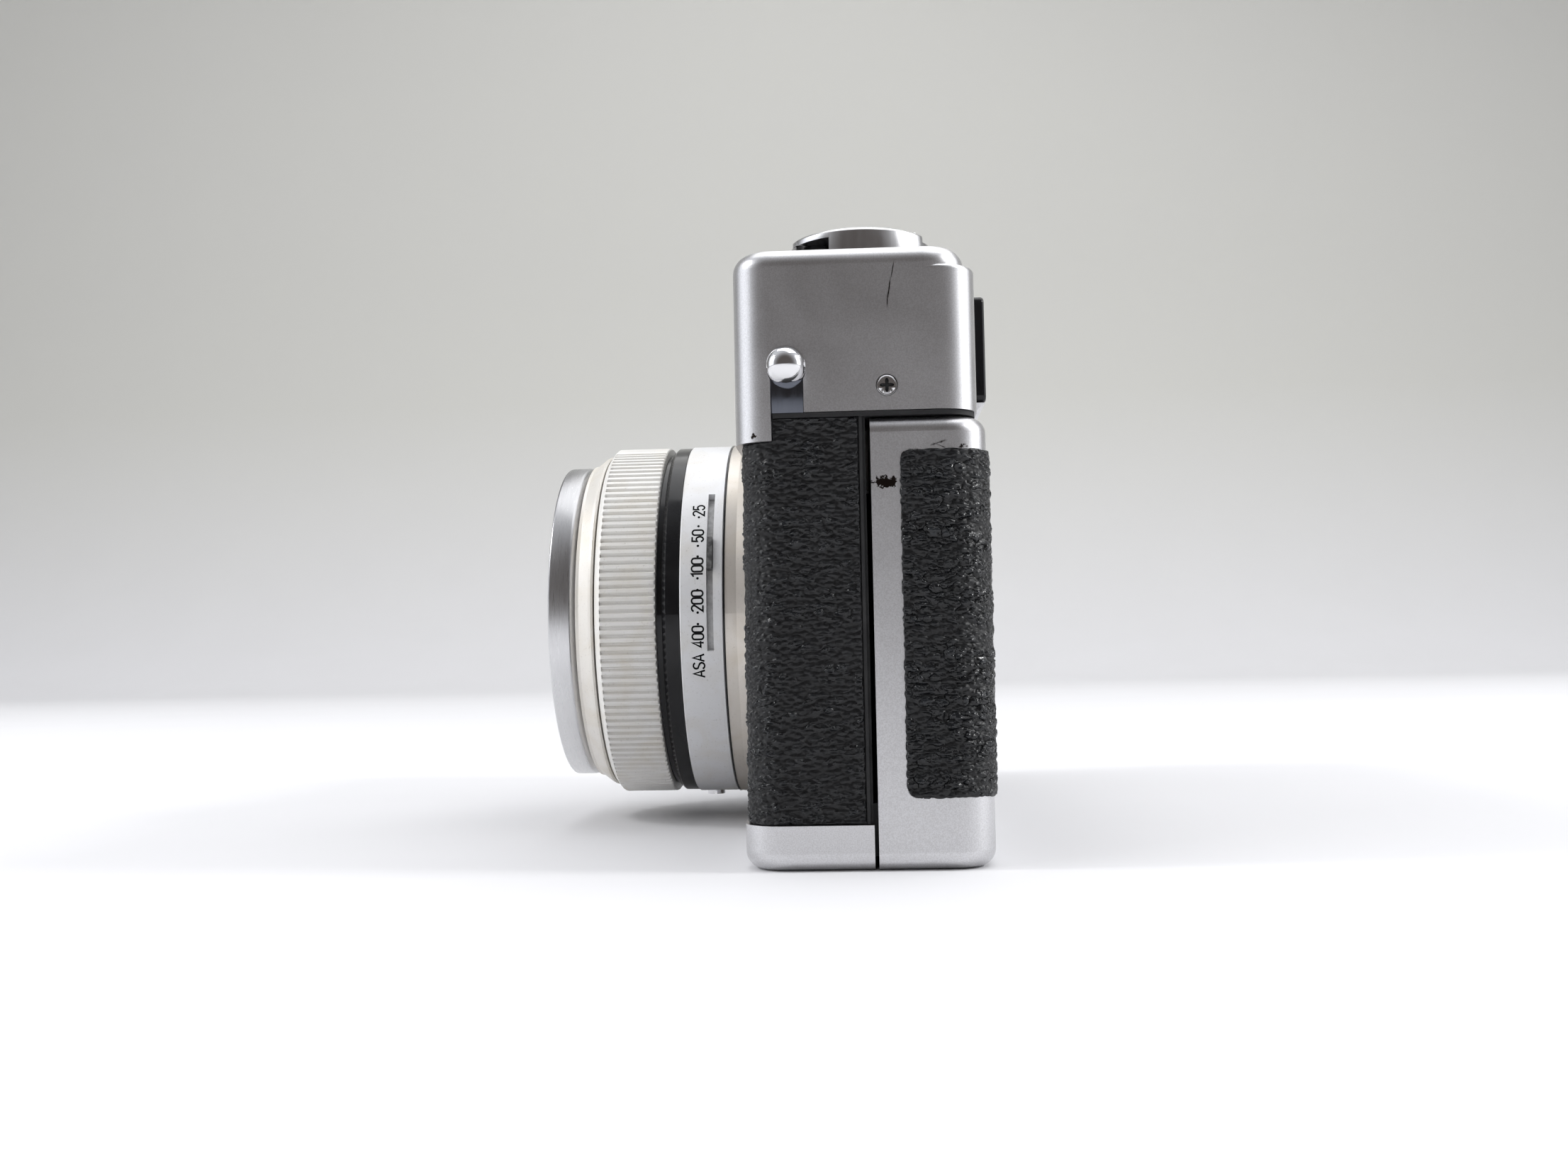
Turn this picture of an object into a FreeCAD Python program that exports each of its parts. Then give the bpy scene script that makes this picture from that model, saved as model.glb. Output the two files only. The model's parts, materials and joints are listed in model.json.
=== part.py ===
import FreeCAD, Part
import math
import os
import re
import Sketcher

# A compact 35 mm rangefinder camera. +Z is up, the lens looks along -Y and the photographer's left hand
# side is +X. The origin is the tripod socket's axis on the base plane. Millimetres.

# Driving dimensions: name, value, meaning. Places with no other word are distances from the origin.
DIMENSIONS = """
half_width       70.0   side of the covers and the door, from the middle
corner            5.0   radius of the upright corners
bottom_round      2.2   radius along the bottom edges
top_round         2.4   radius along the top cover's upper edges
gap               0.1   assembly clearance
skin              0.9   thickness of the leatherette on the body
wall              1.0   sheet thickness of the top and bottom covers
door_wall         1.5   thickness of the door's side and back walls
door_top_wall     0.85  thickness of the door's upper lip
door_bottom_wall  1.1   thickness of the door's lower lip
door_edge         8.6   front edge of the door
door_rear        23.0   back face of the door
door_top         55.25  upper face of the door
door_top_round    2.0   radius along the door's upper edges
inset_front      12.2   front edge of the door's leatherette
inset_low         8.75  lower edge of the door's leatherette
inset_high       51.0   upper edge of the door's leatherette
inset_depth       0.6   depth of the recess for it
inset_corner      1.2   corner radius of that recess
chassis_front    -6.8   front face of the chassis casting
chassis_side     68.7   its side faces
chassis_low       1.6   its underside
chassis_rear      8.0   back of its front half
film_plane       17.0   back face of the film rails' block
film_block_half  38.0   half the width of that block
film_block_top   54.2   top of that block
plate_half_width 24.0   half the pressure plate's width
plate_half_height 17.0  half its height
floor_top         8.0   floor of the film chambers
deck_low         55.35  underside of the top flange
deck_mid         55.9   top of its rim
deck_high        57.0   top of the deck
cover_front      -8.2   front face of the top cover
cover_rear       22.0   back face of the top cover
cover_low        55.95  lower edge of the top cover at the sides and back
cover_high       76.5   its upper face
ledge_rear       20.7   back face of its raised upper part
ledge_high       73.9   height of the ledge behind that part
apron_low        52.5   lower edge of the cover's front
apron_back       -3.45  where the front's apron ends on the sides
base_rear         8.1   rear edge of the bottom cover
base_high         5.55  upper edge of the bottom cover
base_front       -7.85  front face of the bottom cover
base_side        69.9   side of the bottom cover
chamber_x        54.5   axes of the film chambers, from the middle
chamber_y         7.9   the same, along Y
chamber_radius   13.0   film chambers
gate_half_width  18.0   half the picture gate's width
gate_half_height 12.0   half its height
sprocket_x      -28.0   sprocket axis
sprocket_y       11.0   the same, along Y
sprocket_radius   5.95  sprocket barrel
gear_module       0.7   film transport gears
gear_teeth       20     teeth on each of them
gear_backlash     0.05  added to the distance between gear axes
gear_low          2.8   underside of the gears
gear_high         6.6   upper side of the gears
hinge_x         -69.3   door hinge axis
hinge_y           7.85  the same, along Y
pin_radius        0.55  hinge pin
knuckle_radius    1.15  hinge knuckles
knuckle_low       7.0   lowest knuckle's underside
knuckle_length    8.0   length of one knuckle
lens_z           32.6   height of the lens axis
filter_radius    25.5   outside of the filter ring
filter_bore      23.6   inside of the filter ring, minor radius of its thread
filter_front    -40.7   front edge of the filter ring
filter_back     -36.6   back edge of the filter ring
name_radius      23.1   outside of the name ring
glass_radius     13.3   front element
focus_radius     28.5   focusing ring
focus_bore       24.78  inside of the focusing ring
focus_front     -33.2   its front edge
focus_back      -23.85  its back edge
band_radius      28.4   black index band
groove_radius    27.3   groove between the band and the focusing ring
band_front      -22.9   front edge of the band
asa_radius       28.57  film speed ring
asa_bore         27.4   inside of that ring
asa_front       -20.2   its front edge
asa_back        -13.65  its back edge
slot_front      -16.1   slot in that ring
slot_back       -15.1   the same, rear side
slot_low        -11.2   lower end of the slot, degrees above the horizontal
slot_high        40.6   upper end, degrees
tab_low          13.6   lower end of the slider's tab, degrees
tab_high         23.4   upper end, degrees
collar_radius    30.2   lens base against the body
sleeve_radius    24.7   fixed sleeve that the focusing ring turns on
sleeve_bore      22.08  inside of that sleeve
tube_radius      22.0   sliding lens tube
tube_bore        21.2   inside of that tube
blade_pivot      18.0   shutter blade pivots, from the lens axis
blade_leaf        5.0   radius of a blade's leaf
blade_offset      3.0   leaf centre from the lens axis while shut
blade_lead       60.0   leaf centre's direction ahead of its pivot, degrees
blade_pitch       0.35  distance between the blades' layers
blade_sheet       0.15  blade thickness
blade_first     -26.1   front of the first blade
shutter_hole      7.0   aperture in the shutter case
case_front      -27.2   front of the shutter case
case_back       -23.5   back of the shutter case
knob_radius       9.35  rewind knob
knob_low         76.75  underside of the rewind knob
knob_high        79.4   top face of the rewind knob
crank_high       81.7   crown of the folded crank
crank_reach       6.6   crank hinge from the knob's axis
shaft_radius      2.0   rewind shaft
button_x        -34.0   shutter release
button_y         -0.5   the same, along Y
counter_x       -19.0   frame counter
counter_y         1.5   the same, along Y
shoe_x            4.0   middle of the accessory shoe
shoe_y            7.9   the same, along Y
shoe_slot        18.7   width between the shoe's walls
shoe_depth       18.0   length of the shoe
shoe_wall         1.2   thickness of the shoe's walls
eye_low_x        38.0   eyepiece frame, inner side
eye_high_x       54.0   eyepiece frame, outer side
eye_low          59.1   its lower edge
eye_high         73.3   its upper edge
eye_rear         24.15  its back face
panel_low_x     -14.0   window opening in the cover's front
panel_high_x     58.0   the same, outer side
panel_low        63.4   its lower edge
panel_high       73.2   its upper edge
lug_y            -1.45  strap lugs
lug_z            61.2   the same, height
lug_radius        2.25  strap lugs
lug_neck         72.1   where the lug's round end begins, from the middle
screw_y          10.8   side screws
screw_z          59.0   the same, height
screw_head        1.3   radius of a screw head
socket_radius     2.6   tripod thread, minor radius
socket_depth      5.5   its length
battery_x        36.0   battery chamber
battery_radius    6.1   battery
timer_x         -47.0   self-timer
timer_z          27.0   the same, height
"""

doc = FreeCAD.newDocument("RangefinderCamera")
sizes = doc.addObject("Spreadsheet::Sheet", "Sizes")
ALIASES = []
for row, line in enumerate(DIMENSIONS.strip().splitlines(), 1):
    alias, value, meaning = line.split(None, 2)
    sizes.set(f"A{row}", value)
    sizes.setAlias(f"A{row}", alias)
    sizes.set(f"B{row}", meaning)
    ALIASES.append(alias)
doc.recompute()

WORDS = re.compile(r"\b(" + "|".join(sorted(ALIASES, key=len, reverse=True)) + r")\b")
CENTRE_PATHS = {"x": "Placement.Base.x", "y": "Placement.Base.y", "z": "Placement.Base.z"}
ALONG = {
    "x": FreeCAD.Rotation(FreeCAD.Vector(0, 1, 0), 90),
    "y": FreeCAD.Rotation(FreeCAD.Vector(1, 0, 0), -90),
    "z": FreeCAD.Rotation(),
}
LENS = ("0", "lens_z")
NODES = {}


def cells(expression):
    """The expression with each dimension's name turned into its cell."""
    return WORDS.sub(r"Sizes.\1", str(expression))


def number(expression):
    """The expression's value now."""
    return float(sizes.evalExpression(cells(expression)))


def bind(obj, **expressions):
    """Binds properties to expressions; x, y and z stand for the placement's base."""
    for name, expression in expressions.items():
        obj.setExpression(CENTRE_PATHS.get(name, name), cells(expression))
    return obj


def node(name, obj):
    """Marks an object as the finished piece of that name."""
    obj.Label = name
    NODES[name] = obj
    return obj


def box(x, y, z):
    """A box between pairs of expressions."""
    made = doc.addObject("Part::Box", "Block")
    bind(made, x=x[0], y=y[0], z=z[0])
    bind(made, Length=f"({x[1]}) - ({x[0]})", Width=f"({y[1]}) - ({y[0]})", Height=f"({z[1]}) - ({z[0]})")
    return made


def centred(axis, start, centre):
    """Base expressions of a round primitive along axis, whose other two coordinates are centre."""
    places = dict(zip([a for a in "xyz" if a != axis], centre))
    places[axis] = start
    return places


def rod(axis, radius, start, end, centre):
    """A cylinder along an axis."""
    made = doc.addObject("Part::Cylinder", "Rod")
    made.Placement.Rotation = ALONG[axis]
    return bind(made, Radius=radius, Height=f"({end}) - ({start})", **centred(axis, start, centre))


def cone(axis, first, last, start, end, centre):
    """A truncated cone along an axis."""
    made = doc.addObject("Part::Cone", "Taper")
    made.Placement.Rotation = ALONG[axis]
    return bind(made, Radius1=first, Radius2=last, Height=f"({end}) - ({start})", **centred(axis, start, centre))


def ball(radius, x, y, z):
    """A sphere."""
    return bind(doc.addObject("Part::Sphere", "Ball"), Radius=radius, x=x, y=y, z=z)


def fuse(*parts):
    """One solid from several that overlap, or several solids where they stand apart."""
    made = doc.addObject("Part::MultiFuse", "Joined")
    made.Shapes = list(parts)
    return made


def group(*parts):
    """Separate solids kept together."""
    made = doc.addObject("Part::Compound", "Group")
    made.Links = list(parts)
    return made


def cut(base, *tools):
    """The base without the tools."""
    made = doc.addObject("Part::Cut", "Cut")
    made.Base = base
    made.Tool = tools[0] if len(tools) == 1 else fuse(*tools)
    return made


def common(*parts):
    """What all the parts share."""
    made = doc.addObject("Part::MultiCommon", "Shared")
    made.Shapes = list(parts)
    return made


def ring(axis, outer, inner, start, end, centre):
    """A plain tube."""
    through = rod(axis, inner, f"({start}) - 1", f"({end}) + 1", centre)
    return cut(rod(axis, outer, start, end, centre), through)


def edges_where(shape, test):
    """Names of the edges whose box passes the test."""
    return [f"Edge{i}" for i, edge in enumerate(shape.Edges, 1) if test(edge.BoundBox)]


def upright(b):
    return b.XLength < 1e-6 and b.YLength < 1e-6


def rounded_box(x, y, z, *rounds):
    """A body: a box with rounded edges. Each round is (radius, test on an edge's box)."""
    body = doc.addObject("PartDesign::Body", "Rounded")
    block = body.newObject("PartDesign::AdditiveBox", "RoundedBlock")
    bind(block, x=x[0], y=y[0], z=z[0])
    bind(block, Length=f"({x[1]}) - ({x[0]})", Width=f"({y[1]}) - ({y[0]})", Height=f"({z[1]}) - ({z[0]})")
    last = block
    for radius, test in rounds:
        doc.recompute()
        dressed = body.newObject("PartDesign::Fillet", "Round")
        dressed.Base = (last, edges_where(last.Shape, test))
        bind(dressed, Radius=radius)
        last = dressed
    doc.recompute()
    return body


def plane_of(body, role):
    return next(f for f in body.Origin.OriginFeatures if f.Role == role)


def outline(sketch, points):
    """A closed polygon whose corners are held by expressions."""
    values = [FreeCAD.Vector(number(u), number(v), 0) for u, v in points]
    count = len(values)
    for i in range(count):
        sketch.addGeometry(Part.LineSegment(values[i], values[(i + 1) % count]), False)
    for i in range(count):
        sketch.addConstraint(Sketcher.Constraint("Coincident", i, 2, (i + 1) % count, 1))
    for i, (u, v) in enumerate(points):
        for kind, expression, value in (("DistanceX", u, values[i].x), ("DistanceY", v, values[i].y)):
            held = sketch.addConstraint(Sketcher.Constraint(kind, -1, 1, i, 1, value))
            sketch.setExpression(f"Constraints[{held}]", cells(expression))


def turned_on_lens(points):
    """A body of revolution about the lens axis, from (radius, y) corners."""
    body = doc.addObject("PartDesign::Body", "Turned")
    sketch = body.newObject("Sketcher::SketchObject", "Section")
    sketch.AttachmentSupport = [(plane_of(body, "XY_Plane"), "")]
    sketch.MapMode = "FlatFace"
    bind(sketch, **{"AttachmentOffset.Base.z": "lens_z"})
    outline(sketch, points)
    solid = body.newObject("PartDesign::Revolution", "Lathe")
    solid.Profile = sketch
    solid.ReferenceAxis = (sketch, ["V_Axis"])
    solid.Angle = 360.0
    return body


def turned_upright(points, x, y):
    """A body of revolution about an upright axis, from (radius, z) corners."""
    body = doc.addObject("PartDesign::Body", "Turned")
    sketch = body.newObject("Sketcher::SketchObject", "Section")
    sketch.AttachmentSupport = [(plane_of(body, "XZ_Plane"), "")]
    sketch.MapMode = "FlatFace"
    bind(sketch, **{"AttachmentOffset.Base.x": x, "AttachmentOffset.Base.z": f"-({y})"})
    outline(sketch, points)
    solid = body.newObject("PartDesign::Revolution", "Lathe")
    solid.Profile = sketch
    solid.ReferenceAxis = (sketch, ["V_Axis"])
    solid.Angle = 360.0
    return body


def plate(points, low, high):
    """A body: a flat polygon raised from low to high."""
    body = doc.addObject("PartDesign::Body", "Plate")
    sketch = body.newObject("Sketcher::SketchObject", "Outline")
    sketch.AttachmentSupport = [(plane_of(body, "XY_Plane"), "")]
    sketch.MapMode = "FlatFace"
    bind(sketch, **{"AttachmentOffset.Base.z": low})
    outline(sketch, points)
    solid = body.newObject("PartDesign::Pad", "Raised")
    solid.Profile = sketch
    bind(solid, Length=f"({high}) - ({low})")
    return body


def lens_glass(radius, front, back, front_curve, back_curve):
    """A biconvex element on the lens axis; front and back are its crowns."""
    rim = rod("y", radius, front, back, LENS)
    ahead = ball(front_curve, "0", f"({front}) + ({front_curve})", "lens_z")
    behind = ball(back_curve, "0", f"({back}) - ({back_curve})", "lens_z")
    return common(rim, ahead, behind)


def wedge_on_lens(outer, inner, front, back, low_deg, high_deg):
    """Part of a tube round the lens axis, between two angles above the +X side."""
    sector = doc.addObject("Part::Cylinder", "Sector")
    # The cylinder's own angle runs downwards from +X once it lies along +Y, so it starts at its high end.
    turn = FreeCAD.Rotation(FreeCAD.Vector(0, 1, 0), -number(high_deg))
    sector.Placement.Rotation = turn.multiply(ALONG["y"])
    bind(sector, Radius=outer, Height=f"({back}) - ({front})", Angle=f"({high_deg}) - ({low_deg})")
    bind(sector, **centred("y", front, LENS))
    return cut(sector, rod("y", inner, f"({front}) - 1", f"({back}) + 1", LENS))


def countersunk(axis, head_face, inward, centre):
    """A small countersunk screw with a cross recess; inward is +1 or -1 along the axis."""
    start, neck, tip = head_face, f"({head_face}) + {inward} * 0.8", f"({head_face}) + {inward} * 3.6"
    low, high = (start, neck) if inward > 0 else (neck, start)
    wide, narrow = ("screw_head", "0.8") if inward > 0 else ("0.8", "screw_head")
    head = cone(axis, wide, narrow, low, high, centre)
    low, high = (neck, tip) if inward > 0 else (tip, neck)
    shank = rod(axis, "0.8", low, high, centre)
    screw = fuse(head, shank)
    arms = []
    for across in range(2):
        spans = [["-0.75", "0.75"], ["-0.17", "0.17"]]
        spans = spans[::-1] if across else spans
        spans = [[f"({c}) + ({e})" for e in span] for c, span in zip(centre, spans)]
        depth = [f"({head_face}) - 0.01", f"({head_face}) + 0.5"]
        if inward < 0:
            depth = [f"({head_face}) - 0.5", f"({head_face}) + 0.01"]
        spans.insert("xyz".index(axis), depth)
        arms.append(box(*spans))
    return cut(screw, *arms)


def idler_centre():
    """The idler gear's axis, in mesh with the spool's gear and the sprocket's gear."""
    ax, ay = -number("chamber_x"), number("chamber_y")
    bx, by = number("sprocket_x"), number("sprocket_y")
    reach = number("gear_module * gear_teeth + gear_backlash")
    span = math.hypot(bx - ax, by - ay)
    aside = math.sqrt(reach**2 - (span / 2) ** 2)
    return (ax + bx) / 2 + aside * (by - ay) / span, (ay + by) / 2 - aside * (bx - ax) / span


def gear_face(phase):
    """A spur gear's outline about the origin, with involute flanks and a tooth centred on phase."""
    module, teeth = number("gear_module"), int(number("gear_teeth"))
    pitch = module * teeth / 2
    base = pitch * math.cos(math.radians(20))
    root, tip = pitch - 1.25 * module, pitch + 0.9 * module
    half = math.pi / teeth / 2 - 0.06 / pitch
    involute = lambda r: math.sqrt((r / base) ** 2 - 1) - math.acos(base / r)
    radii = [base + (tip - base) * k / 4 for k in range(5)]
    points = []
    for tooth in range(teeth):
        middle = phase + 2 * math.pi * tooth / teeth
        flank = [(r, half + involute(pitch) - involute(r)) for r in radii]
        flank.insert(0, (root, flank[0][1]))
        points += [(r, middle - a) for r, a in flank]
        points += [(r, middle + a) for r, a in reversed(flank)]
    corners = [FreeCAD.Vector(r * math.cos(a), r * math.sin(a), 0) for r, a in points]
    return Part.Face(Part.makePolygon(corners + corners[:1]))


def gear(x, y, phase):
    """A spur gear of the film transport at its place."""
    low, high = number("gear_low"), number("gear_high")
    made = doc.addObject("Part::Feature", "Gear")
    made.Shape = gear_face(phase).extrude(FreeCAD.Vector(0, 0, high - low))
    made.Placement.Base = FreeCAD.Vector(x, y, low)
    return made


def knuckles(first):
    """Ends of every other hinge knuckle, lowest first."""
    return [(f"knuckle_low + {k} * knuckle_length + gap", f"knuckle_low + {k + 1} * knuckle_length - gap")
            for k in range(first, 6, 2)]


# ---- chassis -------------------------------------------------------------------------------------------------

def picture_gate():
    """The room of the picture, through the chassis and the film gate."""
    return box(("-gate_half_width", "gate_half_width"), ("chassis_front - 1", "film_plane + 1"),
               ("lens_z - gate_half_height", "lens_z + gate_half_height"))


def sprocket_pocket():
    """The room of the sprocket, in the chassis and the film gate."""
    return rod("z", "sprocket_radius + 1.25", "12", "film_block_top - 1", ("sprocket_x", "sprocket_y"))


def film_gate():
    block = box(("-film_block_half", "film_block_half"), ("chassis_rear", "film_plane"), ("floor_top", "film_block_top"))
    rails = [
        box(("-film_block_half + 4", "film_block_half - 1"), ("film_plane - 0.5", "film_plane + 0.3"),
            (f"lens_z + {s} * 14.8 - 0.6", f"lens_z + {s} * 14.8 + 0.6"))
        for s in (1, -1)
    ]
    lower_bearing = rod("z", "1.6", "floor_top - 1", "12.5", ("sprocket_x", "sprocket_y"))
    upper_bearing = rod("z", "1.35", "film_block_top - 1.5", "film_block_top + 1", ("sprocket_x", "sprocket_y"))
    return cut(fuse(block, *rails), picture_gate(), sprocket_pocket(), lower_bearing, upper_bearing)


def chassis():
    side = ("-chassis_side", "chassis_side")
    front = rounded_box(
        side, ("chassis_front", "chassis_rear"), ("chassis_low", "deck_low"),
        ("corner - skin", lambda b: upright(b) and b.YMax < 0),
    )
    floor = rounded_box(
        ("-half_width + door_wall + 0.5", "half_width - door_wall - 0.5"),
        ("chassis_rear - 1", "door_rear - door_wall - 0.3"), ("chassis_low", "floor_top"),
        ("corner - 1", lambda b: upright(b) and b.YMin > 9),
    )
    rim = rounded_box(
        ("-half_width + 0.5", "half_width - 0.5"), ("apron_back + 0.15", "cover_rear - 0.3"), ("deck_low", "deck_mid"),
        ("corner - 0.5", lambda b: upright(b) and b.YMin > 9),
    )
    deck = rounded_box(
        ("-half_width + wall + 0.15", "half_width - wall - 0.15"),
        ("chassis_front + 0.1", "cover_rear - wall - 0.15"), ("deck_low", "deck_high"),
        ("corner - 1.1", upright),
    )
    body = [front, floor, rim, deck]
    bead = box(("chassis_side - 0.6", "chassis_side + 0.6"), ("7.25", "7.65"), ("base_high + gap", "deck_low"))
    bosses = [
        box((f"{s} * 67.3 - 1.5", f"{s} * 67.3 + 1.5"), ("screw_y - 2.2", "screw_y + 2.2"), ("deck_high - 0.5", "screw_z + 2.2"))
        for s in (1, -1)
    ]
    hinge_webs = []
    for low, high in knuckles(0):
        hinge_webs.append(rod("z", "knuckle_radius", low, high, ("hinge_x", "hinge_y")))
        hinge_webs.append(box(("hinge_x", "hinge_x + 1.6"), ("hinge_y - 1.1", "hinge_y + 0.15"), (low, high)))
    plain = fuse(*body, bead, *bosses)
    swing_room = rod("z", "knuckle_radius + 0.2", "base_high - 1", "deck_low", ("hinge_x", "hinge_y"))
    hollow = [swing_room]
    for s in (1, -1):
        hollow.append(rod("z", "chamber_radius", "floor_top", "deck_low", (f"{s} * chamber_x", "chamber_y")))
    hollow.append(picture_gate())
    hollow.append(rod("y", "tube_radius + 0.3", "chassis_front - 1", "5", LENS))
    hollow.append(sprocket_pocket())
    idler_x, idler_y = idler_centre()
    gear_room = "gear_module * (gear_teeth / 2 + 1) + 0.4"
    for x, y in (("-chamber_x", "chamber_y"), ("sprocket_x", "sprocket_y"), (str(idler_x), str(idler_y))):
        hollow.append(rod("z", gear_room, "chassis_low - 1", "gear_high + 0.5", (x, y)))
    hollow.append(box(("-57.6", "-23.9"), ("-1.1", "15.1"), ("chassis_low - 1", "chassis_low + 0.8")))
    hollow.append(rod("z", "1.6", "gear_high", "floor_top + 1", ("-chamber_x", "chamber_y")))
    hollow.append(rod("z", "1.6", "gear_high", "12.5", ("sprocket_x", "sprocket_y")))
    hollow.append(rod("z", "1.35", "film_block_top - 1.5", "deck_high + 1", ("sprocket_x", "sprocket_y")))
    hollow.append(rod("z", "2.1", "deck_low - 1", "deck_high + 1", ("-chamber_x", "chamber_y")))
    hollow.append(rod("z", "shaft_radius + 0.2", "deck_low - 1", "deck_high + 1", ("chamber_x", "chamber_y")))
    hollow.append(rod("z", "1.25", "deck_low - 1", "deck_high + 1", ("66.2", "15.4")))
    hollow.append(rod("z", "battery_radius + 0.3", "chassis_low - 1", "7.4", ("battery_x", "0.3")))
    hollow.append(rod("z", "5.4", "chassis_low - 1", "6.7", ("0", "0")))
    hollow.append(rod("z", "1.8", "chassis_low - 1", "7.2", ("-14", "1")))
    hollow.append(rod("z", "2.6", "chassis_low - 1", "3.2", ("-14", "1")))
    hollow.append(rod("y", "1.6", "chassis_front - 1", "-3.4", ("timer_x", "timer_z")))
    for s in (1, -1):
        hollow.append(rod("x", "0.85", f"{s} * 67.3 - 3", f"{s} * 67.3 + 3", ("screw_y", "screw_z")))
        hollow.append(rod("z", "0.85", "chassis_low - 1", "5.2", (f"{s} * 61", "0.3")))
    hollowed = cut(plain, *hollow)
    pin_bore = rod("z", "pin_radius + 0.05", "knuckle_low - 2", "door_top", ("hinge_x", "hinge_y"))
    return cut(fuse(hollowed, *hinge_webs), pin_bore)


def gear_plate():
    idler_x, idler_y = idler_centre()
    sheet = box(("-57.5", "-24"), ("-1", "15"), ("chassis_low", "chassis_low + 0.6"))
    studs = [rod("z", "1.4", "chassis_low + 0.1", "gear_high - 0.1", (str(idler_x), str(idler_y)))]
    holes = [rod("z", "0.7", "chassis_low - 1", "chassis_low + 2", (x, y))
             for x, y in (("-chamber_x", "chamber_y"), ("sprocket_x", "sprocket_y"))]
    return cut(fuse(sheet, *studs), *holes)


def body_covering():
    outer = rounded_box(
        ("-chassis_side - skin", "chassis_side + skin"), ("chassis_front - skin", "7.1"), ("base_high + gap", "deck_low"),
        ("corner - 0.1", lambda b: upright(b) and b.YMax < 0),
    )
    inner = rounded_box(
        ("-chassis_side - 0.05", "chassis_side + 0.05"), ("chassis_front - 0.05", "9"), ("base_high - 1", "deck_low + 1"),
        ("corner - skin + 0.05", lambda b: upright(b) and b.YMax < 0),
    )
    under_apron = box(("-half_width - 1", "half_width + 1"), ("cover_front - 1", "apron_back + gap"),
                      ("apron_low - gap", "deck_low + 1"))
    lens_hole = rod("y", "collar_radius + 0.15", "cover_front - 1", "0", LENS)
    timer_hole = rod("y", "1.7", "cover_front - 1", "0", ("timer_x", "timer_z"))
    hinge_room = rod("z", "knuckle_radius + 0.45", "0", "deck_low + 1", ("hinge_x", "hinge_y"))
    return cut(outer, inner, under_apron, lens_hole, timer_hole, hinge_room)


# ---- covers --------------------------------------------------------------------------------------------------

def lens_arch():
    """The room the lens base takes in the front of the covers."""
    return rod("y", "collar_radius + 0.1", "cover_front - 1", "chassis_front + 0.05", LENS)


def top_cover():
    side = ("-half_width", "half_width")
    upper = rounded_box(
        side, ("cover_front", "ledge_rear"), ("apron_low", "cover_high"),
        ("corner", upright), ("top_round", lambda b: b.ZLength < 1e-6 and b.ZMax > 70),
    )
    lower = rounded_box(
        side, ("cover_front", "cover_rear"), ("apron_low", "ledge_high"),
        ("corner", upright), ("0.6", lambda b: b.ZLength < 1e-6 and b.ZMax > 70 and b.YMax > 0),
    )
    inner = rounded_box(
        ("-half_width + wall", "half_width - wall"), ("cover_front + wall", "cover_rear - wall"),
        ("apron_low - 1", "ledge_high - wall"), ("corner - wall", upright),
    )
    loft = rounded_box(
        ("-half_width + wall", "half_width - wall"), ("cover_front + wall", "ledge_rear - wall"),
        ("apron_low - 1", "cover_high - wall"),
        ("corner - wall", upright), ("top_round - wall", lambda b: b.ZLength < 1e-6 and b.ZMax > 70),
    )
    skirt = box(("-half_width - 1", "half_width + 1"), ("apron_back", "cover_rear + 1"), ("apron_low - 1", "cover_low"))
    openings = [inner, loft, skirt, lens_arch()]
    for s in (1, -1):
        wall_span = (f"{s} * (half_width - 0.5) - 1.5", f"{s} * (half_width - 0.5) + 1.5")
        openings.append(box(wall_span, ("lug_y - 2.03", "lug_y + 2.03"), ("cover_low - 1", "lug_z")))
        openings.append(rod("x", "lug_radius + 0.08", wall_span[0], wall_span[1], ("lug_y", "lug_z")))
        openings.append(rod("x", "screw_head + 0.05", wall_span[0], wall_span[1], ("screw_y", "screw_z")))
    openings.append(rounded_box(
        ("panel_low_x", "panel_high_x"), ("cover_front - 1", "cover_front + wall + 0.5"), ("panel_low", "panel_high"),
        ("1.2", lambda b: b.XLength < 1e-6 and b.ZLength < 1e-6),
    ))
    openings.append(box(("eye_low_x + 1.5", "eye_high_x - 1.5"), ("cover_rear - wall - 1.5", "cover_rear + 1"),
                        ("eye_low + 1.5", "eye_high - 1.5")))
    for radius, x, y in (("shaft_radius + 0.3", "chamber_x", "chamber_y"), ("3.5", "-chamber_x", "chamber_y"),
                         ("5.1", "button_x", "button_y"), ("3.6", "counter_x", "counter_y")):
        openings.append(rod("z", radius, "cover_high - 3", "cover_high + 1", (x, y)))
    shell = cut(fuse(upper, lower), *openings)
    bevel = doc.addObject("Part::Wedge", "Bevel")
    bind(bevel, Xmin="0", Xmax="eye_high_x - eye_low_x", X2min="0.6", X2max="eye_high_x - eye_low_x - 0.6",
         Ymin="0", Ymax="1.5", Zmin="0", Zmax="2.1", Z2min="0", Z2max="0.2")
    # The wedge's own Y runs down and its Z runs back, so it tapers into the cover below the eyepiece.
    bevel.Placement.Rotation = FreeCAD.Rotation(FreeCAD.Vector(1, 0, 0), -90)
    bind(bevel, x="eye_low_x", y="cover_rear - 0.1", z="eye_low - 0.05")
    return fuse(shell, bevel)


def window_panel():
    face = rounded_box(
        ("panel_low_x + 0.05", "panel_high_x - 0.05"), ("cover_front + 0.25", "cover_front + wall + 0.05"),
        ("panel_low + 0.05", "panel_high - 0.05"), ("1.15", lambda b: b.XLength < 1e-6 and b.ZLength < 1e-6),
    )
    flange = box(("panel_low_x - 1", "panel_high_x + 1"), ("cover_front + wall + 0.05", "cover_front + 1.8"),
                 ("panel_low - 1", "panel_high + 1"))
    through = [box((a, b), ("cover_front - 1", "cover_front + 3"), (c, d)) for a, b, c, d in WINDOWS]
    return cut(fuse(face, flange), *through, lens_arch())


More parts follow.
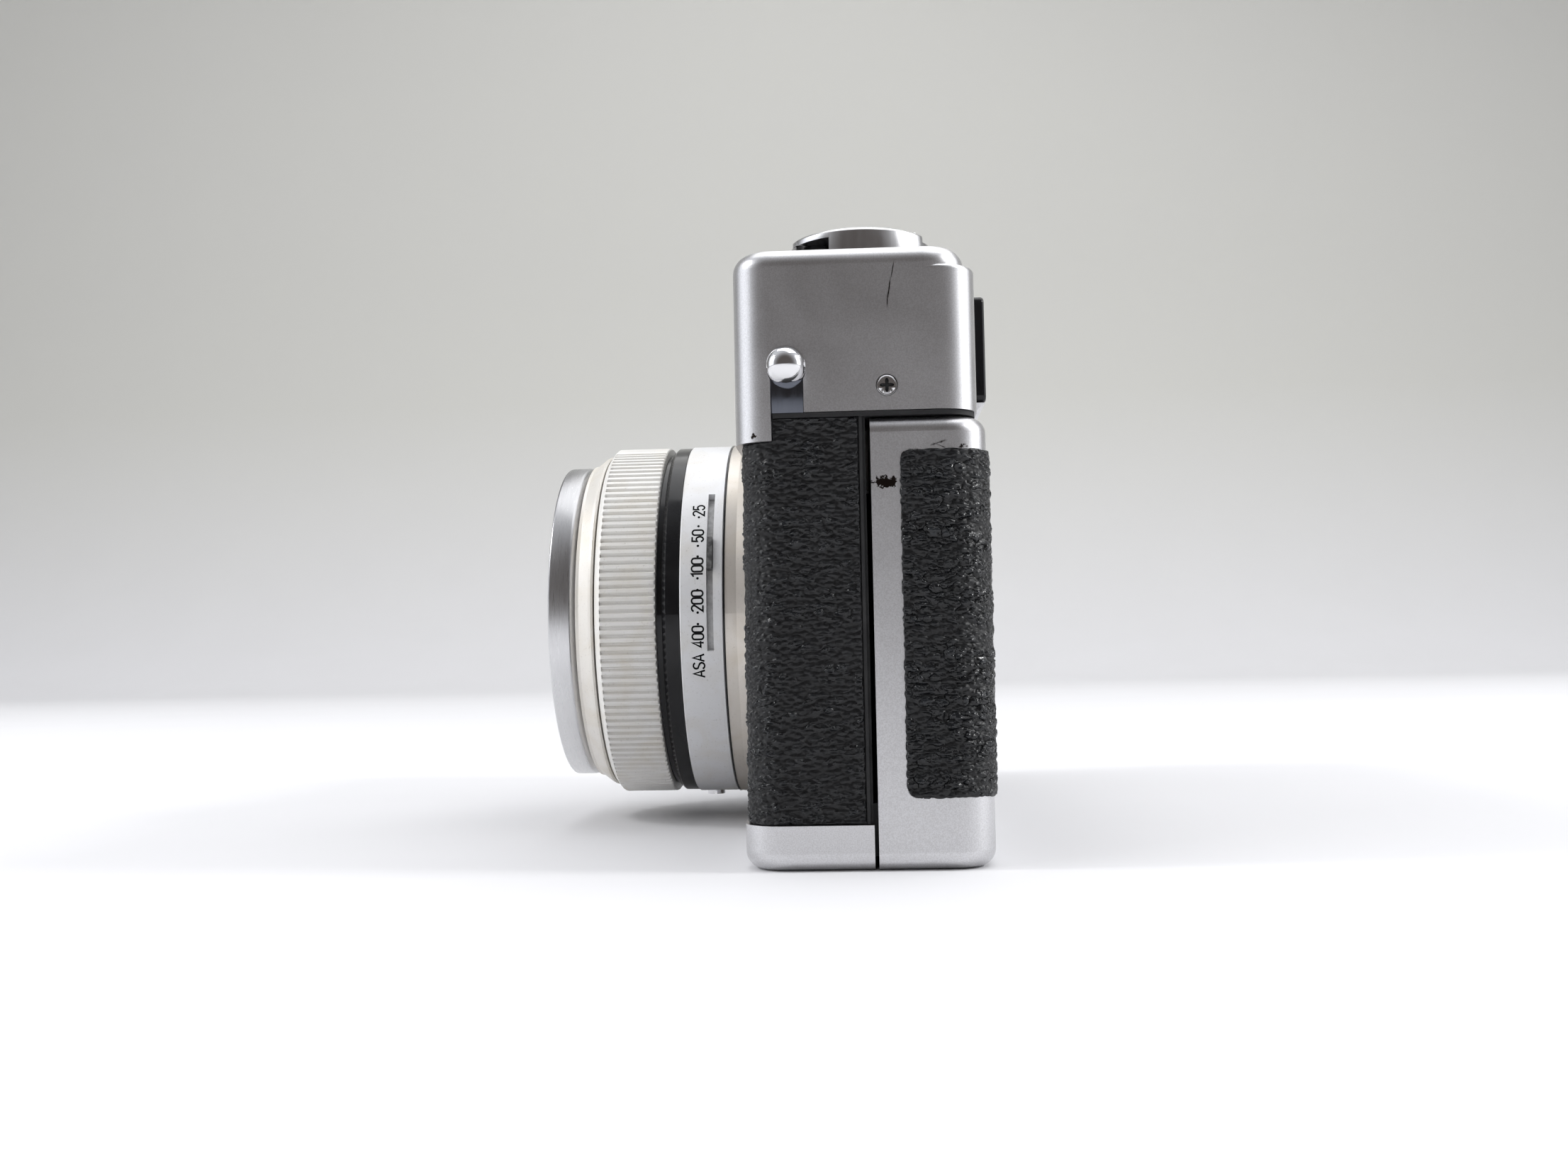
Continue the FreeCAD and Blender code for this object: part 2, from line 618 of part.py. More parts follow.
WINDOWS = [
    ("37.5", "54.5", "64.6", "72.0"),
    ("14.0", "30.0", "64.9", "71.7"),
    ("-9.5", "-2.5", "65.6", "71.0"),
]


def window_pane(index):
    a, b, c, d = WINDOWS[index]
    return box((f"{a} + 0.05", f"{b} - 0.05"), ("cover_front + 0.6", "cover_front + 1.5"), (f"{c} + 0.05", f"{d} - 0.05"))


def finder_housing():
    main = cut(
        box(("36.8", "50.8"), ("-6.2", "19.6"), ("59.6", "73.0")),
        box(("37.8", "49.8"), ("-7", "21"), ("60.6", "72.0")),
    )
    arm = cut(
        box(("-11", "36.85"), ("-6.2", "2.0"), ("60.6", "72.0")),
        box(("-10", "40"), ("-7", "1.0"), ("61.6", "71.0")),
    )
    window_in_side = box(("36", "38.5"), ("-5.5", "1.0"), ("62", "70.5"))
    return cut(fuse(main, arm), window_in_side)


def finder_optics():
    front_lens = box(("38.0", "49.6"), ("-5.6", "-3.6"), ("60.9", "71.7"))
    splitter = plate([("38.0", "6.0"), ("39.2", "5.2"), ("49.6", "15.6"), ("48.4", "16.4")], "61", "71.6")
    mirror = plate([("-8.6", "-2.2"), ("-7.8", "-3.0"), ("-4.4", "0.2"), ("-5.2", "0.9")], "62", "70.5")
    return fuse(front_lens, splitter, mirror)


def eyepiece_frame():
    frame = rounded_box(
        ("eye_low_x", "eye_high_x"), ("cover_rear", "eye_rear"), ("eye_low", "eye_high"),
        ("1.0", lambda b: b.XLength < 1e-6 and b.ZLength < 1e-6),
        ("0.5", lambda b: b.YMin > 24 and b.YLength < 1e-6),
    )
    neck = box(("eye_low_x + 1.6", "eye_high_x - 1.6"), ("cover_rear - 1.4", "cover_rear + 0.1"),
               ("eye_low + 1.6", "eye_high - 1.6"))
    opening = box(("eye_low_x + 3", "eye_high_x - 3"), ("cover_rear - 3", "eye_rear + 1"), ("eye_low + 2.6", "eye_high - 2.6"))
    return cut(fuse(frame, neck), opening)


def eyepiece_lens():
    return box(("eye_low_x + 3.05", "eye_high_x - 3.05"), ("cover_rear - 0.6", "cover_rear + 0.9"),
               ("eye_low + 2.65", "eye_high - 2.65"))


def accessory_shoe():
    half = "shoe_slot / 2"
    base = box((f"shoe_x - {half} - shoe_wall", f"shoe_x + {half} + shoe_wall"),
               ("shoe_y - shoe_depth / 2", "shoe_y + shoe_depth / 2"), ("cover_high + 0.02", "cover_high + 0.8"))
    sides = []
    for s in (1, -1):
        edge = f"shoe_x + {s} * ({half} + shoe_wall / 2)"
        sides.append(box((f"{edge} - shoe_wall / 2", f"{edge} + shoe_wall / 2"),
                         ("shoe_y - shoe_depth / 2", "shoe_y + shoe_depth / 2"), ("cover_high + 0.5", "cover_high + 3.9")))
        lip = f"shoe_x + {s} * ({half} - 1.2)"
        sides.append(box((f"{lip} - 1.8", f"{lip} + 1.8"),
                         ("shoe_y - shoe_depth / 2", "shoe_y + shoe_depth / 2"), ("cover_high + 2.95", "cover_high + 3.9")))
    stop = box((f"shoe_x - {half}", f"shoe_x + {half}"), ("shoe_y - shoe_depth / 2", "shoe_y - shoe_depth / 2 + 1"),
               ("cover_high + 0.5", "cover_high + 1.8"))
    holes = [rod("z", "0.95", "cover_high - 1", "cover_high + 2", (f"shoe_x + {a} * 5.5", f"shoe_y + {b} * 5.5"))
             for a in (1, -1) for b in (1, -1)]
    return cut(fuse(base, *sides, stop), *holes)


def shoe_spring():
    arms = [box((f"shoe_x + {s} * 8.2 - 0.9", f"shoe_x + {s} * 8.2 + 0.9"), ("shoe_y - 7.6", "shoe_y + 8.4"),
                ("cover_high + 0.82", "cover_high + 1.05")) for s in (1, -1)]
    bridge = box(("shoe_x - 8.2", "shoe_x + 8.2"), ("shoe_y - 7.6", "shoe_y - 6.6"), ("cover_high + 0.82", "cover_high + 1.05"))
    return fuse(*arms, bridge)


def cover_screws():
    made = [countersunk("x", f"{s} * (half_width - 0.1)", -s, ("screw_y", "screw_z")) for s in (1, -1)]
    made += [countersunk("z", "0.05", 1, (f"{s} * 61", "0.3")) for s in (1, -1)]
    for a in (1, -1):
        for b in (1, -1):
            centre = (f"shoe_x + {a} * 5.5", f"shoe_y + {b} * 5.5")
            made.append(rod("z", "0.9", "cover_high + 0.05", "cover_high + 0.75", centre))
    return fuse(*made)


def strap_lugs():
    made = []
    for s in (1, -1):
        inner, neck = f"{s} * 67.9", f"{s} * lug_neck"
        low, high = (inner, neck) if s > 0 else (neck, inner)
        post = rod("x", "lug_radius", low, high, ("lug_y", "lug_z"))
        end = ball("lug_radius", neck, "lug_y", "lug_z")
        seat = box((f"{s} * 68.8 - 0.9", f"{s} * 68.8 + 0.9"), ("lug_y - 1.95", "lug_y + 1.95"), ("deck_high + 0.05", "lug_z"))
        skirt = box((f"{s} * 69.3 - 0.4", f"{s} * 69.3 + 0.4"), ("lug_y - 1.95", "lug_y + 1.95"), ("cover_low", "deck_high + 0.1"))
        eye = rod("y", "0.95", "lug_y - 4", "lug_y + 4", (f"{s} * (lug_neck - 0.2)", "lug_z"))
        made.append(cut(fuse(post, end, seat, skirt), eye))
    return fuse(*made)


def bottom_cover():
    outer = rounded_box(
        ("-base_side", "base_side"), ("base_front", "base_rear"), ("0", "base_high"),
        ("corner", lambda b: upright(b) and b.YMax < 0),
        ("bottom_round", lambda b: b.ZLength < 1e-6 and b.ZMax < 1 and not (b.YMin > 7 and b.YLength < 1e-6)),
    )
    inner = rounded_box(
        ("-base_side + wall", "base_side - wall"), ("base_front + wall", "base_rear + 1"), ("wall", "base_high + 1"),
        ("corner - wall", lambda b: upright(b) and b.YMax < 0),
    )
    holes = [
        rod("z", "4.6", "-1", "3", ("0", "0")),
        rod("z", "2.6", "-1", "3", ("-14", "1")),
        rod("z", "7.05", "-1", "3", ("battery_x", "0.3")),
        rod("z", "screw_head + 0.05", "-1", "3", ("61", "0.3")),
        rod("z", "screw_head + 0.05", "-1", "3", ("-61", "0.3")),
        rod("z", "knuckle_radius + 0.3", "-1", "base_high + 1", ("hinge_x", "hinge_y")),
        lens_arch(),
    ]
    return cut(outer, inner, *holes)


def tripod_socket():
    bush = fuse(rod("z", "4.5", "0", "6.5", ("0", "0")), rod("z", "5.3", "wall + 0.05", "2.4", ("0", "0")))
    return cut(bush, rod("z", "socket_radius", "-1", "socket_depth", ("0", "0")))


def rewind_button():
    return fuse(rod("z", "2.4", "0.3", "1.5", ("-14", "1")), rod("z", "1.6", "1.4", "5.4", ("-14", "1")))


def battery_cover():
    cap = rod("z", "6.95", "0.15", "1.3", ("battery_x", "0.3"))
    slot = box(("battery_x - 5", "battery_x + 5"), ("0.3 - 0.6", "0.3 + 0.6"), ("-1", "0.75"))
    return cut(cap, slot)


def battery():
    return fuse(rod("z", "battery_radius", "1.95", "5.6", ("battery_x", "0.3")),
                rod("z", "battery_radius - 1.2", "5.5", "7.3", ("battery_x", "0.3")))


# ---- back door -----------------------------------------------------------------------------------------------

def inset_block(grow):
    """The space of the door's leatherette, wrapped round its back, grown by an expression."""
    return rounded_box(
        ("-half_width - 2", "half_width + 2"), (f"inset_front - ({grow})", "door_rear + 3"),
        (f"inset_low - ({grow})", f"inset_high + ({grow})"),
        ("inset_corner", lambda b: b.YLength < 1e-6 and b.ZLength < 1e-6 and b.YMax < 20),
    )


def wrapped_core(depth):
    """The door's outside, taken in by an expression."""
    return rounded_box(
        (f"-half_width + ({depth})", f"half_width - ({depth})"), ("0", f"door_rear - ({depth})"), ("-2", "door_top + 2"),
        (f"corner - ({depth})", lambda b: upright(b) and b.YMin > 9),
    )


def back_door():
    outer = rounded_box(
        ("-half_width", "half_width"), ("door_edge", "door_rear"), ("0", "door_top"),
        ("corner", lambda b: upright(b) and b.YMin > 9),
        ("bottom_round", lambda b: b.ZLength < 1e-6 and b.ZMax < 1 and not (b.YMax < 9)),
        ("door_top_round", lambda b: b.ZLength < 1e-6 and b.ZMin > 50 and not (b.YMax < 9)),
    )
    inner = rounded_box(
        ("-half_width + door_wall", "half_width - door_wall"), ("door_edge - 1", "door_rear - door_wall"),
        ("door_bottom_wall", "door_top - door_top_wall"),
        ("corner - door_wall", lambda b: upright(b) and b.YMin > 9),
    )
    over_spindles = box(("-66.4", "66.4"), ("door_edge - 1", "13.6"), ("door_top - 3", "door_top + 1"))
    shell = cut(outer, inner, over_spindles, cut(inset_block("0"), wrapped_core("inset_depth")))
    rooms = [rod("z", "knuckle_radius + 0.25", low, high, ("hinge_x", "hinge_y")) for low, high in knuckles(0)]
    rooms.append(rod("z", "knuckle_radius + 0.25", "-1", "knuckle_low + gap", ("hinge_x", "hinge_y")))
    rooms.append(rod("z", "knuckle_radius + 0.25", "knuckle_low + 6 * knuckle_length - gap", "door_top + 1", ("hinge_x", "hinge_y")))
    opened = cut(shell, *rooms)
    webs = []
    for low, high in knuckles(1):
        webs.append(rod("z", "knuckle_radius", low, high, ("hinge_x", "hinge_y")))
        webs.append(box(("hinge_x - 0.5", "hinge_x + 0.7"), ("hinge_y", "door_edge + 0.3"), (low, high)))
    catch_hole = rod("z", "1.3", "51", "56", ("66.2", "15.4"))
    bore = rod("z", "pin_radius + 0.05", "knuckle_low - 2", "door_top", ("hinge_x", "hinge_y"))
    return cut(fuse(opened, *webs), bore, catch_hole)


def door_covering():
    proud = rounded_box(
        ("-half_width - 0.12", "half_width + 0.12"), ("0", "door_rear + 0.12"), ("-2", "door_top + 2"),
        ("corner + 0.12", lambda b: upright(b) and b.YMin > 9),
    )
    return cut(common(proud, inset_block("-0.05")), wrapped_core("inset_depth - 0.03"))


def pressure_plate():
    sheet = rounded_box(
        ("-plate_half_width", "plate_half_width"), ("film_plane + 0.5", "film_plane + 1.5"),
        ("lens_z - plate_half_height", "lens_z + plate_half_height"),
        ("2", lambda b: b.XLength < 1e-6 and b.ZLength < 1e-6),
    )
    dimples = [rod("y", "0.9", "film_plane", "film_plane + 2", (f"{x}", f"lens_z + {z}"))
               for x in range(-20, 21, 8) for z in (-10, 0, 10)]
    return cut(sheet, *dimples)


def pressure_spring():
    back, bow, thick = "door_rear - door_wall - 0.05", "film_plane + 1.6", "0.3"
    lifted = [("-17", back), ("-12.3", back), ("-7.8", f"{bow} + {thick}"), ("7.8", f"{bow} + {thick}"),
              ("12.3", back), ("17", back)]
    lower = [("-17", f"{back} - {thick}"), ("-12.5", f"{back} - {thick}"), ("-8", bow), ("8", bow),
             ("12.5", f"{back} - {thick}"), ("17", f"{back} - {thick}")]
    return plate(lower + lifted[::-1], "lens_z - 6", "lens_z + 6")


def hinge_pin():
    return rod("z", "pin_radius", "knuckle_low", "knuckle_low + 6 * knuckle_length", ("hinge_x", "hinge_y"))


# ---- film transport ------------------------------------------------------------------------------------------

TOOTH_PITCH = 2 * math.pi / number("gear_teeth")


def mesh_phase(here, there, phase):
    """The phase that meshes a gear at there with one of that phase at here; both have the same teeth."""
    towards = math.atan2(there[1] - here[1], there[0] - here[0])
    return 2 * towards + math.pi - phase - TOOTH_PITCH / 2


SPOOL = (-number("chamber_x"), number("chamber_y"))
IDLER = idler_centre()
SPROCKET = (number("sprocket_x"), number("sprocket_y"))
IDLER_PHASE = mesh_phase(SPOOL, IDLER, 0.0)
SPROCKET_PHASE = mesh_phase(IDLER, SPROCKET, IDLER_PHASE)


def take_up_spool():
    centre = ("-chamber_x", "chamber_y")
    core = fuse(
        rod("z", "6.2", "10", "53", centre), rod("z", "9.5", "9", "10.2", centre), rod("z", "8.5", "52.8", "54", centre),
        rod("z", "1.5", "gear_low", "9.5", centre), rod("z", "2.0", "53.5", "deck_high - 0.2", centre),
    )
    slots = [box((f"-chamber_x + {a} * 5.5 - 1.5", f"-chamber_x + {a} * 5.5 + 1.5"), ("chamber_y - 0.9", "chamber_y + 0.9"),
                 ("lens_z - 12", "lens_z + 12")) for a in (1, -1)]
    return fuse(cut(core, *slots), gear(*SPOOL, 0.0))


def sprocket():
    centre = ("sprocket_x", "sprocket_y")
    barrel = [
        rod("z", "sprocket_radius", f"lens_z + {s} * 14.1 - 3", f"lens_z + {s} * 14.1 + 3", centre) for s in (1, -1)
    ]
    stem = [rod("z", "4.4", "lens_z - 12", "lens_z + 12", centre), rod("z", "1.25", "lens_z + 17", "deck_high", centre),
            rod("z", "1.5", "gear_low", "lens_z - 17", centre)]
    teeth = []
    for level in (1, -1):
        for tooth in range(8):
            spike = doc.addObject("Part::Cone", "Spike")
            bind(spike, Radius1="0.85", Radius2="0.35", Height="1.6")
            turn = FreeCAD.Rotation(FreeCAD.Vector(0, 0, 1), 45 * tooth)
            spike.Placement.Rotation = turn.multiply(ALONG["x"])
            outward = turn.multVec(FreeCAD.Vector(number("sprocket_radius") - 0.6, 0, 0))
            bind(spike, x=f"sprocket_x + {outward.x:.4f}", y=f"sprocket_y + {outward.y:.4f}", z=f"lens_z + {level} * 14.1")
            teeth.append(spike)
    return fuse(*barrel, *stem, *teeth, gear(*SPROCKET, SPROCKET_PHASE))


def idler_gear():
    return cut(gear(*IDLER, IDLER_PHASE), rod("z", "1.5", "gear_low - 1", "gear_high + 1", (str(IDLER[0]), str(IDLER[1]))))


def advance_lever():
    centre = ("-chamber_x", "chamber_y")
    hub = fuse(rod("z", "9.2", "cover_high + 0.3", "cover_high + 2.6", centre),
               rod("z", "3.4", "deck_high + gap", "cover_high + 0.6", centre))
    arm = plate(
        [("-chamber_x - 2", "chamber_y + 9.05"), ("-chamber_x + 8.7", "chamber_y - 2.5"), ("-chamber_x + 24", "chamber_y + 5.5"),
         ("-chamber_x + 25.5", "chamber_y + 9.5"), ("-chamber_x + 12", "chamber_y + 10.2")],
        "cover_high + 0.7", "cover_high + 2.3",
    )
    tip = rod("z", "2.1", "cover_high + 0.5", "cover_high + 3.6", ("-chamber_x + 23.6", "chamber_y + 7.5"))
    return fuse(hub, arm, tip)


def advance_cap():
    centre = ("-chamber_x", "chamber_y")
    cap = fuse(rod("z", "8.4", "cover_high + 2.65", "cover_high + 3.5", centre),
               cone("z", "8.4", "7.6", "cover_high + 3.5", "cover_high + 4.1", centre))
    holes = [rod("z", "0.6", "cover_high + 3.2", "cover_high + 6", (f"-chamber_x + {s} * 5", "chamber_y")) for s in (1, -1)]
    return cut(cap, *holes)


# ---- rewind --------------------------------------------------------------------------------------------------

def rewind_knob():
    centre = ("chamber_x", "chamber_y")
    disc = rod("z", "knob_radius", "knob_low", "knob_high", centre)
    under = rod("z", "knob_radius - 0.9", "knob_low - 1", "knob_high - 0.75", centre)
    hub = rod("z", "3.2", "knob_low", "knob_high - 0.1", centre)
    grip_hole = rod("z", "2.6", "knob_low - 1", "knob_high + 1", ("chamber_x", "chamber_y - 5.6"))
    notch = box(("chamber_x + 4.5", "chamber_x + 10"), ("chamber_y - 8.3", "chamber_y - 3.9"), ("knob_low - 1", "knob_high - 0.8"))
    shaft_hole = rod("z", "shaft_radius", "knob_low - 1", "knob_high - 0.6", centre)
    ears = [box((f"chamber_x + {s} * 3.9 - 0.7", f"chamber_x + {s} * 3.9 + 0.7"),
                ("chamber_y + crank_reach - 0.9", "chamber_y + crank_reach + 0.9"), ("knob_high - 0.1", "knob_high + 1.5"))
            for s in (1, -1)]
    pins = [rod("x", "0.45", f"chamber_x + {s} * 3.4 - 0.6", f"chamber_x + {s} * 3.4 + 0.6",
                ("chamber_y + crank_reach", "knob_high + 0.8")) for s in (1, -1)]
    return fuse(cut(fuse(cut(disc, under), hub), grip_hole, notch, shaft_hole), *ears, *pins)


def rewind_crank():
    crown = number("crank_high - knob_high")
    dome_radius = (8.9**2 + crown**2) / (2 * crown)
    dome = ball(str(dome_radius), "chamber_x", "chamber_y", f"crank_high - {dome_radius}")
    band = box(("chamber_x - 4.6", "chamber_x + 4.6"), ("chamber_y - 8.8", "chamber_y + crank_reach + 0.9"),
               ("knob_high + 0.06", "crank_high + 1"))
    round_end = rod("z", "8.85", "knob_high", "crank_high + 1", ("chamber_x", "chamber_y"))
    ear_rooms = [box((f"chamber_x + {s} * 4.5 - 1.4", f"chamber_x + {s} * 4.5 + 1.4"),
                     ("chamber_y + crank_reach - 2.2", "chamber_y + crank_reach + 3"), ("knob_high - 1", "knob_high + 3"))
                 for s in (1, -1)]
    hinge_bore = rod("x", "0.5", "chamber_x - 6", "chamber_x + 6", ("chamber_y + crank_reach", "knob_high + 0.8"))
    barrel = rod("x", "0.75", "chamber_x - 3.05", "chamber_x + 3.05", ("chamber_y + crank_reach", "knob_high + 0.8"))
    sweep = box(("chamber_x - 6", "chamber_x + 6"), ("chamber_y + crank_reach", "chamber_y + crank_reach + 4"),
                ("knob_high - 1", "knob_high + 4"))
    grip_pin = rod("z", "0.76", "knob_high", "crank_high + 1", ("chamber_x", "chamber_y - 5.6"))
    lid = cut(common(dome, band, round_end), *ear_rooms, sweep)
    return cut(fuse(lid, barrel), hinge_bore, grip_pin)


def crank_grip():
    grip = rod("z", "2.1", "knob_low + 0.1", "knob_high - 0.05", ("chamber_x", "chamber_y - 5.6"))
    groove = cut(rod("z", "3", "knob_low + 0.9", "knob_low + 1.5", ("chamber_x", "chamber_y - 5.6")),
                 rod("z", "1.7", "knob_low", "knob_high", ("chamber_x", "chamber_y - 5.6")))
    pin = rod("z", "0.7", "knob_high - 0.1", "knob_high + 1.3", ("chamber_x", "chamber_y - 5.6"))
    return fuse(cut(grip, groove), pin)


def rewind_shaft():
    centre = ("chamber_x", "chamber_y")
    shaft = rod("z", "shaft_radius", "47.5", "knob_high - 0.65", centre)
    between_tines = box(("chamber_x - 1", "chamber_x + 1"), ("chamber_y - 2.5", "chamber_y + 2.5"), ("47", "50"))
    beside_tines = [box(("chamber_x - 2.5", "chamber_x + 2.5"), (f"chamber_y + {s} * 1.7 - 0.9", f"chamber_y + {s} * 1.7 + 0.9"),
                        ("47", "51")) for s in (1, -1)]
    return cut(shaft, between_tines, *beside_tines)


def latch_slide():
    sleeve = ring("z", "3.3", "shaft_radius + 0.06", "58.2", "62.2", ("chamber_x", "chamber_y"))
    arm = box(("chamber_x + 2.5", "67.4"), ("14.2", "16.6"), ("60.6", "61.8"))
    link = box(("chamber_x + 1.8", "chamber_x + 4.2"), ("chamber_y + 2.6", "16.6"), ("60.6", "61.8"))
    pin = rod("z", "1.0", "door_top + 0.15", "61", ("66.2", "15.4"))
    return fuse(sleeve, cut(fuse(arm, link), rod("z", "3.2", "58", "63", ("chamber_x", "chamber_y"))), pin)


# ---- release and counter -------------------------------------------------------------------------------------

def release_collar():
    return turned_upright([("4.3", "cover_high - 1.6"), ("5.0", "cover_high - 1.6"), ("5.0", "cover_high + 0.05"),
                           ("6.3", "cover_high + 0.05"), ("5.9", "cover_high + 1.3"), ("4.9", "cover_high + 1.7"),
                           ("4.3", "cover_high + 1.2")], "button_x", "button_y")


def release_button():
    button = fuse(rod("z", "4.15", "cover_high - 1.5", "cover_high + 2.3", ("button_x", "button_y")),
                  cone("z", "4.15", "3.5", "cover_high + 2.3", "cover_high + 2.9", ("button_x", "button_y")),
                  rod("z", "1.5", "cover_high - 12", "cover_high - 1", ("button_x", "button_y")))
    thread = fuse(rod("z", "1.6", "cover_high - 0.6", "cover_high + 4", ("button_x", "button_y")),
                  cone("z", "1.6", "2.4", "cover_high + 2.2", "cover_high + 3.0", ("button_x", "button_y")))
    return cut(button, thread)


def counter_dial():
    return fuse(rod("z", "7.6", "cover_high - 3.4", "cover_high - 2.8", ("counter_x + 3.6", "counter_y")),
                rod("z", "1.2", "cover_high - 9", "cover_high - 3", ("counter_x + 3.6", "counter_y")))


def counter_window():
    return turned_upright([("0", "cover_high - 0.95"), ("3.5", "cover_high - 0.95"), ("3.5", "cover_high + 0.1"),
                           ("2.4", "cover_high + 0.45"), ("0", "cover_high + 0.6")], "counter_x", "counter_y")


def self_timer_lever():
    hub = fuse(rod("y", "4.3", "-9.2", "-7.75", ("timer_x", "timer_z")), cone("y", "3.2", "4.3", "-10.2", "-9.2", ("timer_x", "timer_z")),
               rod("y", "1.5", "-9", "-3.6", ("timer_x", "timer_z")))
    arm = box(("timer_x - 2.1", "timer_x + 2.1"), ("-10.1", "-8.7"), ("timer_z - 15", "timer_z"))
    end = rod("y", "2.1", "-10.1", "-8.7", ("timer_x", "timer_z - 15"))
    return fuse(hub, arm, end)


# ---- lens ----------------------------------------------------------------------------------------------------

def lens_collar():
    return turned_on_lens([("sleeve_radius + 0.05", "asa_front"), ("asa_bore - 0.6", "asa_front"),
                           ("asa_bore - 0.6", "asa_back + 0.3"), ("asa_radius + 0.03", "asa_back + 0.3"),
                           ("asa_radius + 0.25", "-11.6"), ("collar_radius - 0.6", "-9.2"), ("collar_radius", "-8.1"),
                           ("collar_radius", "chassis_front - 0.05"), ("sleeve_radius + 0.05", "chassis_front - 0.05")])


def asa_ring():
    body = turned_on_lens([("asa_bore", "asa_front + 0.05"), ("asa_radius - 0.15", "asa_front + 0.05"),
                           ("asa_radius", "asa_front + 0.2"), ("asa_radius", "asa_back - 0.1"),
                           ("asa_radius - 0.1", "asa_back"), ("asa_bore", "asa_back")])
    slot = wedge_on_lens("asa_radius + 1", "asa_bore - 1", "slot_front", "slot_back", "slot_low", "slot_high")
    stud_hole = rod("z", "1.5", "lens_z - asa_radius - 1", "lens_z - asa_bore + 1", ("0", "-17.85"))
    return cut(body, slot, stud_hole)


def asa_slider():
    band = ring("y", "asa_bore - 0.1", "asa_bore - 0.5", "slot_front - 0.9", "slot_back + 0.9", LENS)
    tab = wedge_on_lens("asa_radius + 0.75", "asa_bore - 0.3", "slot_front + gap", "slot_back - gap", "tab_low", "tab_high")
    return fuse(band, tab)


def ring_stud():
    stud = rod("z", "1.42", "lens_z - asa_radius - 0.65", "lens_z - asa_bore - 0.15", ("0", "-17.85"))
    return cut(stud, box(("-2", "2"), ("-18.05", "-17.65"), ("lens_z - asa_radius - 1", "lens_z - asa_radius - 0.2")))


def index_band():
    return turned_on_lens([("sleeve_radius + 0.05", "focus_back + gap"), ("groove_radius", "focus_back + gap"),
                           ("groove_radius", "band_front"), ("band_radius - 0.5", "band_front"),
                           ("band_radius", "band_front + 0.6"), ("band_radius", "asa_front - 0.05"),
                           ("sleeve_radius + 0.05", "asa_front - 0.05")])


def focus_ring():
    return turned_on_lens([("focus_bore", "focus_front + 0.5"), ("focus_radius - 1.0", "focus_front"),
                           ("focus_radius", "focus_front + 0.7"), ("focus_radius", "focus_back - 0.3"),
                           ("focus_radius - 0.35", "focus_back"), ("focus_bore", "focus_back")])


def helicoid_sleeve():
    return ring("y", "sleeve_radius", "sleeve_bore", "focus_front + 0.6", "chassis_front - 0.05", LENS)


def front_barrel():
    return turned_on_lens([("name_radius + 0.1", "filter_back + 0.05"), ("filter_radius - 0.4", "filter_back + 0.05"),
                           ("filter_radius + 0.3", "filter_back + 0.25"), ("filter_radius + 0.35", "filter_back + 0.7"),
                           ("filter_radius + 0.7", "-35.4"), ("filter_radius + 1.6", "-34.2"), ("filter_radius + 1.8", "-33.8"),
                           ("filter_radius + 1.6", "-33.5"), ("tube_radius + 0.02", "-33.5"), ("tube_radius + 0.02", "-34.0"),
                           ("name_radius + 0.1", "-34.0")])


def filter_ring():
    return turned_on_lens([("filter_bore", "filter_front"), ("filter_radius - 0.25", "filter_front"),
                           ("filter_radius", "filter_front + 0.25"), ("filter_radius", "filter_back"),
                           ("filter_bore", "filter_back")])


def name_ring():
    return turned_on_lens([("glass_radius + 0.1", "-35.2"), ("glass_radius + 0.6", "-35.6"), ("name_radius - 3", "-36.0"),
                           ("name_radius - 2.6", "-36.25"), ("name_radius", "-36.25"), ("name_radius", "-34.1"),
                           ("glass_radius + 0.1", "-34.1")])


def lens_tube():
    tube = ring("y", "tube_radius", "tube_bore", "-34.0", "-9.5", LENS)
    front_wall = ring("y", "tube_radius - 0.2", "glass_radius + 0.05", "-34.0", "-33.0", LENS)
    cell = ring("y", "glass_radius + 1", "glass_radius + 0.05", "-34.0", "-31.7", LENS)
    inner_cell = ring("y", "glass_radius + 1", "9.6", "-31.8", "-28.0", LENS)
    rear_wall = ring("y", "tube_radius - 0.2", "8.1", "-12.5", "-9.5", LENS)
    return fuse(tube, front_wall, cell, inner_cell, rear_wall)


def shutter_case():
    drum = ring("y", "tube_bore - 0.05", "tube_bore - 0.7", "case_front", "case_back", LENS)
    front = ring("y", "tube_bore - 0.3", "shutter_hole", "case_front", "case_front + 0.5", LENS)
    back = ring("y", "tube_bore - 0.3", "shutter_hole", "case_back - 0.5", "case_back", LENS)
    pins = []
    for k in range(5):
        angle = math.radians(90 + 72 * k)
        centre = (f"blade_pivot * {math.cos(angle):.6f}", f"lens_z + blade_pivot * {math.sin(angle):.6f}")
        pins.append(rod("y", "0.5", "case_front + 0.2", "case_back - 0.2", centre))
    return fuse(drum, front, back, *pins)


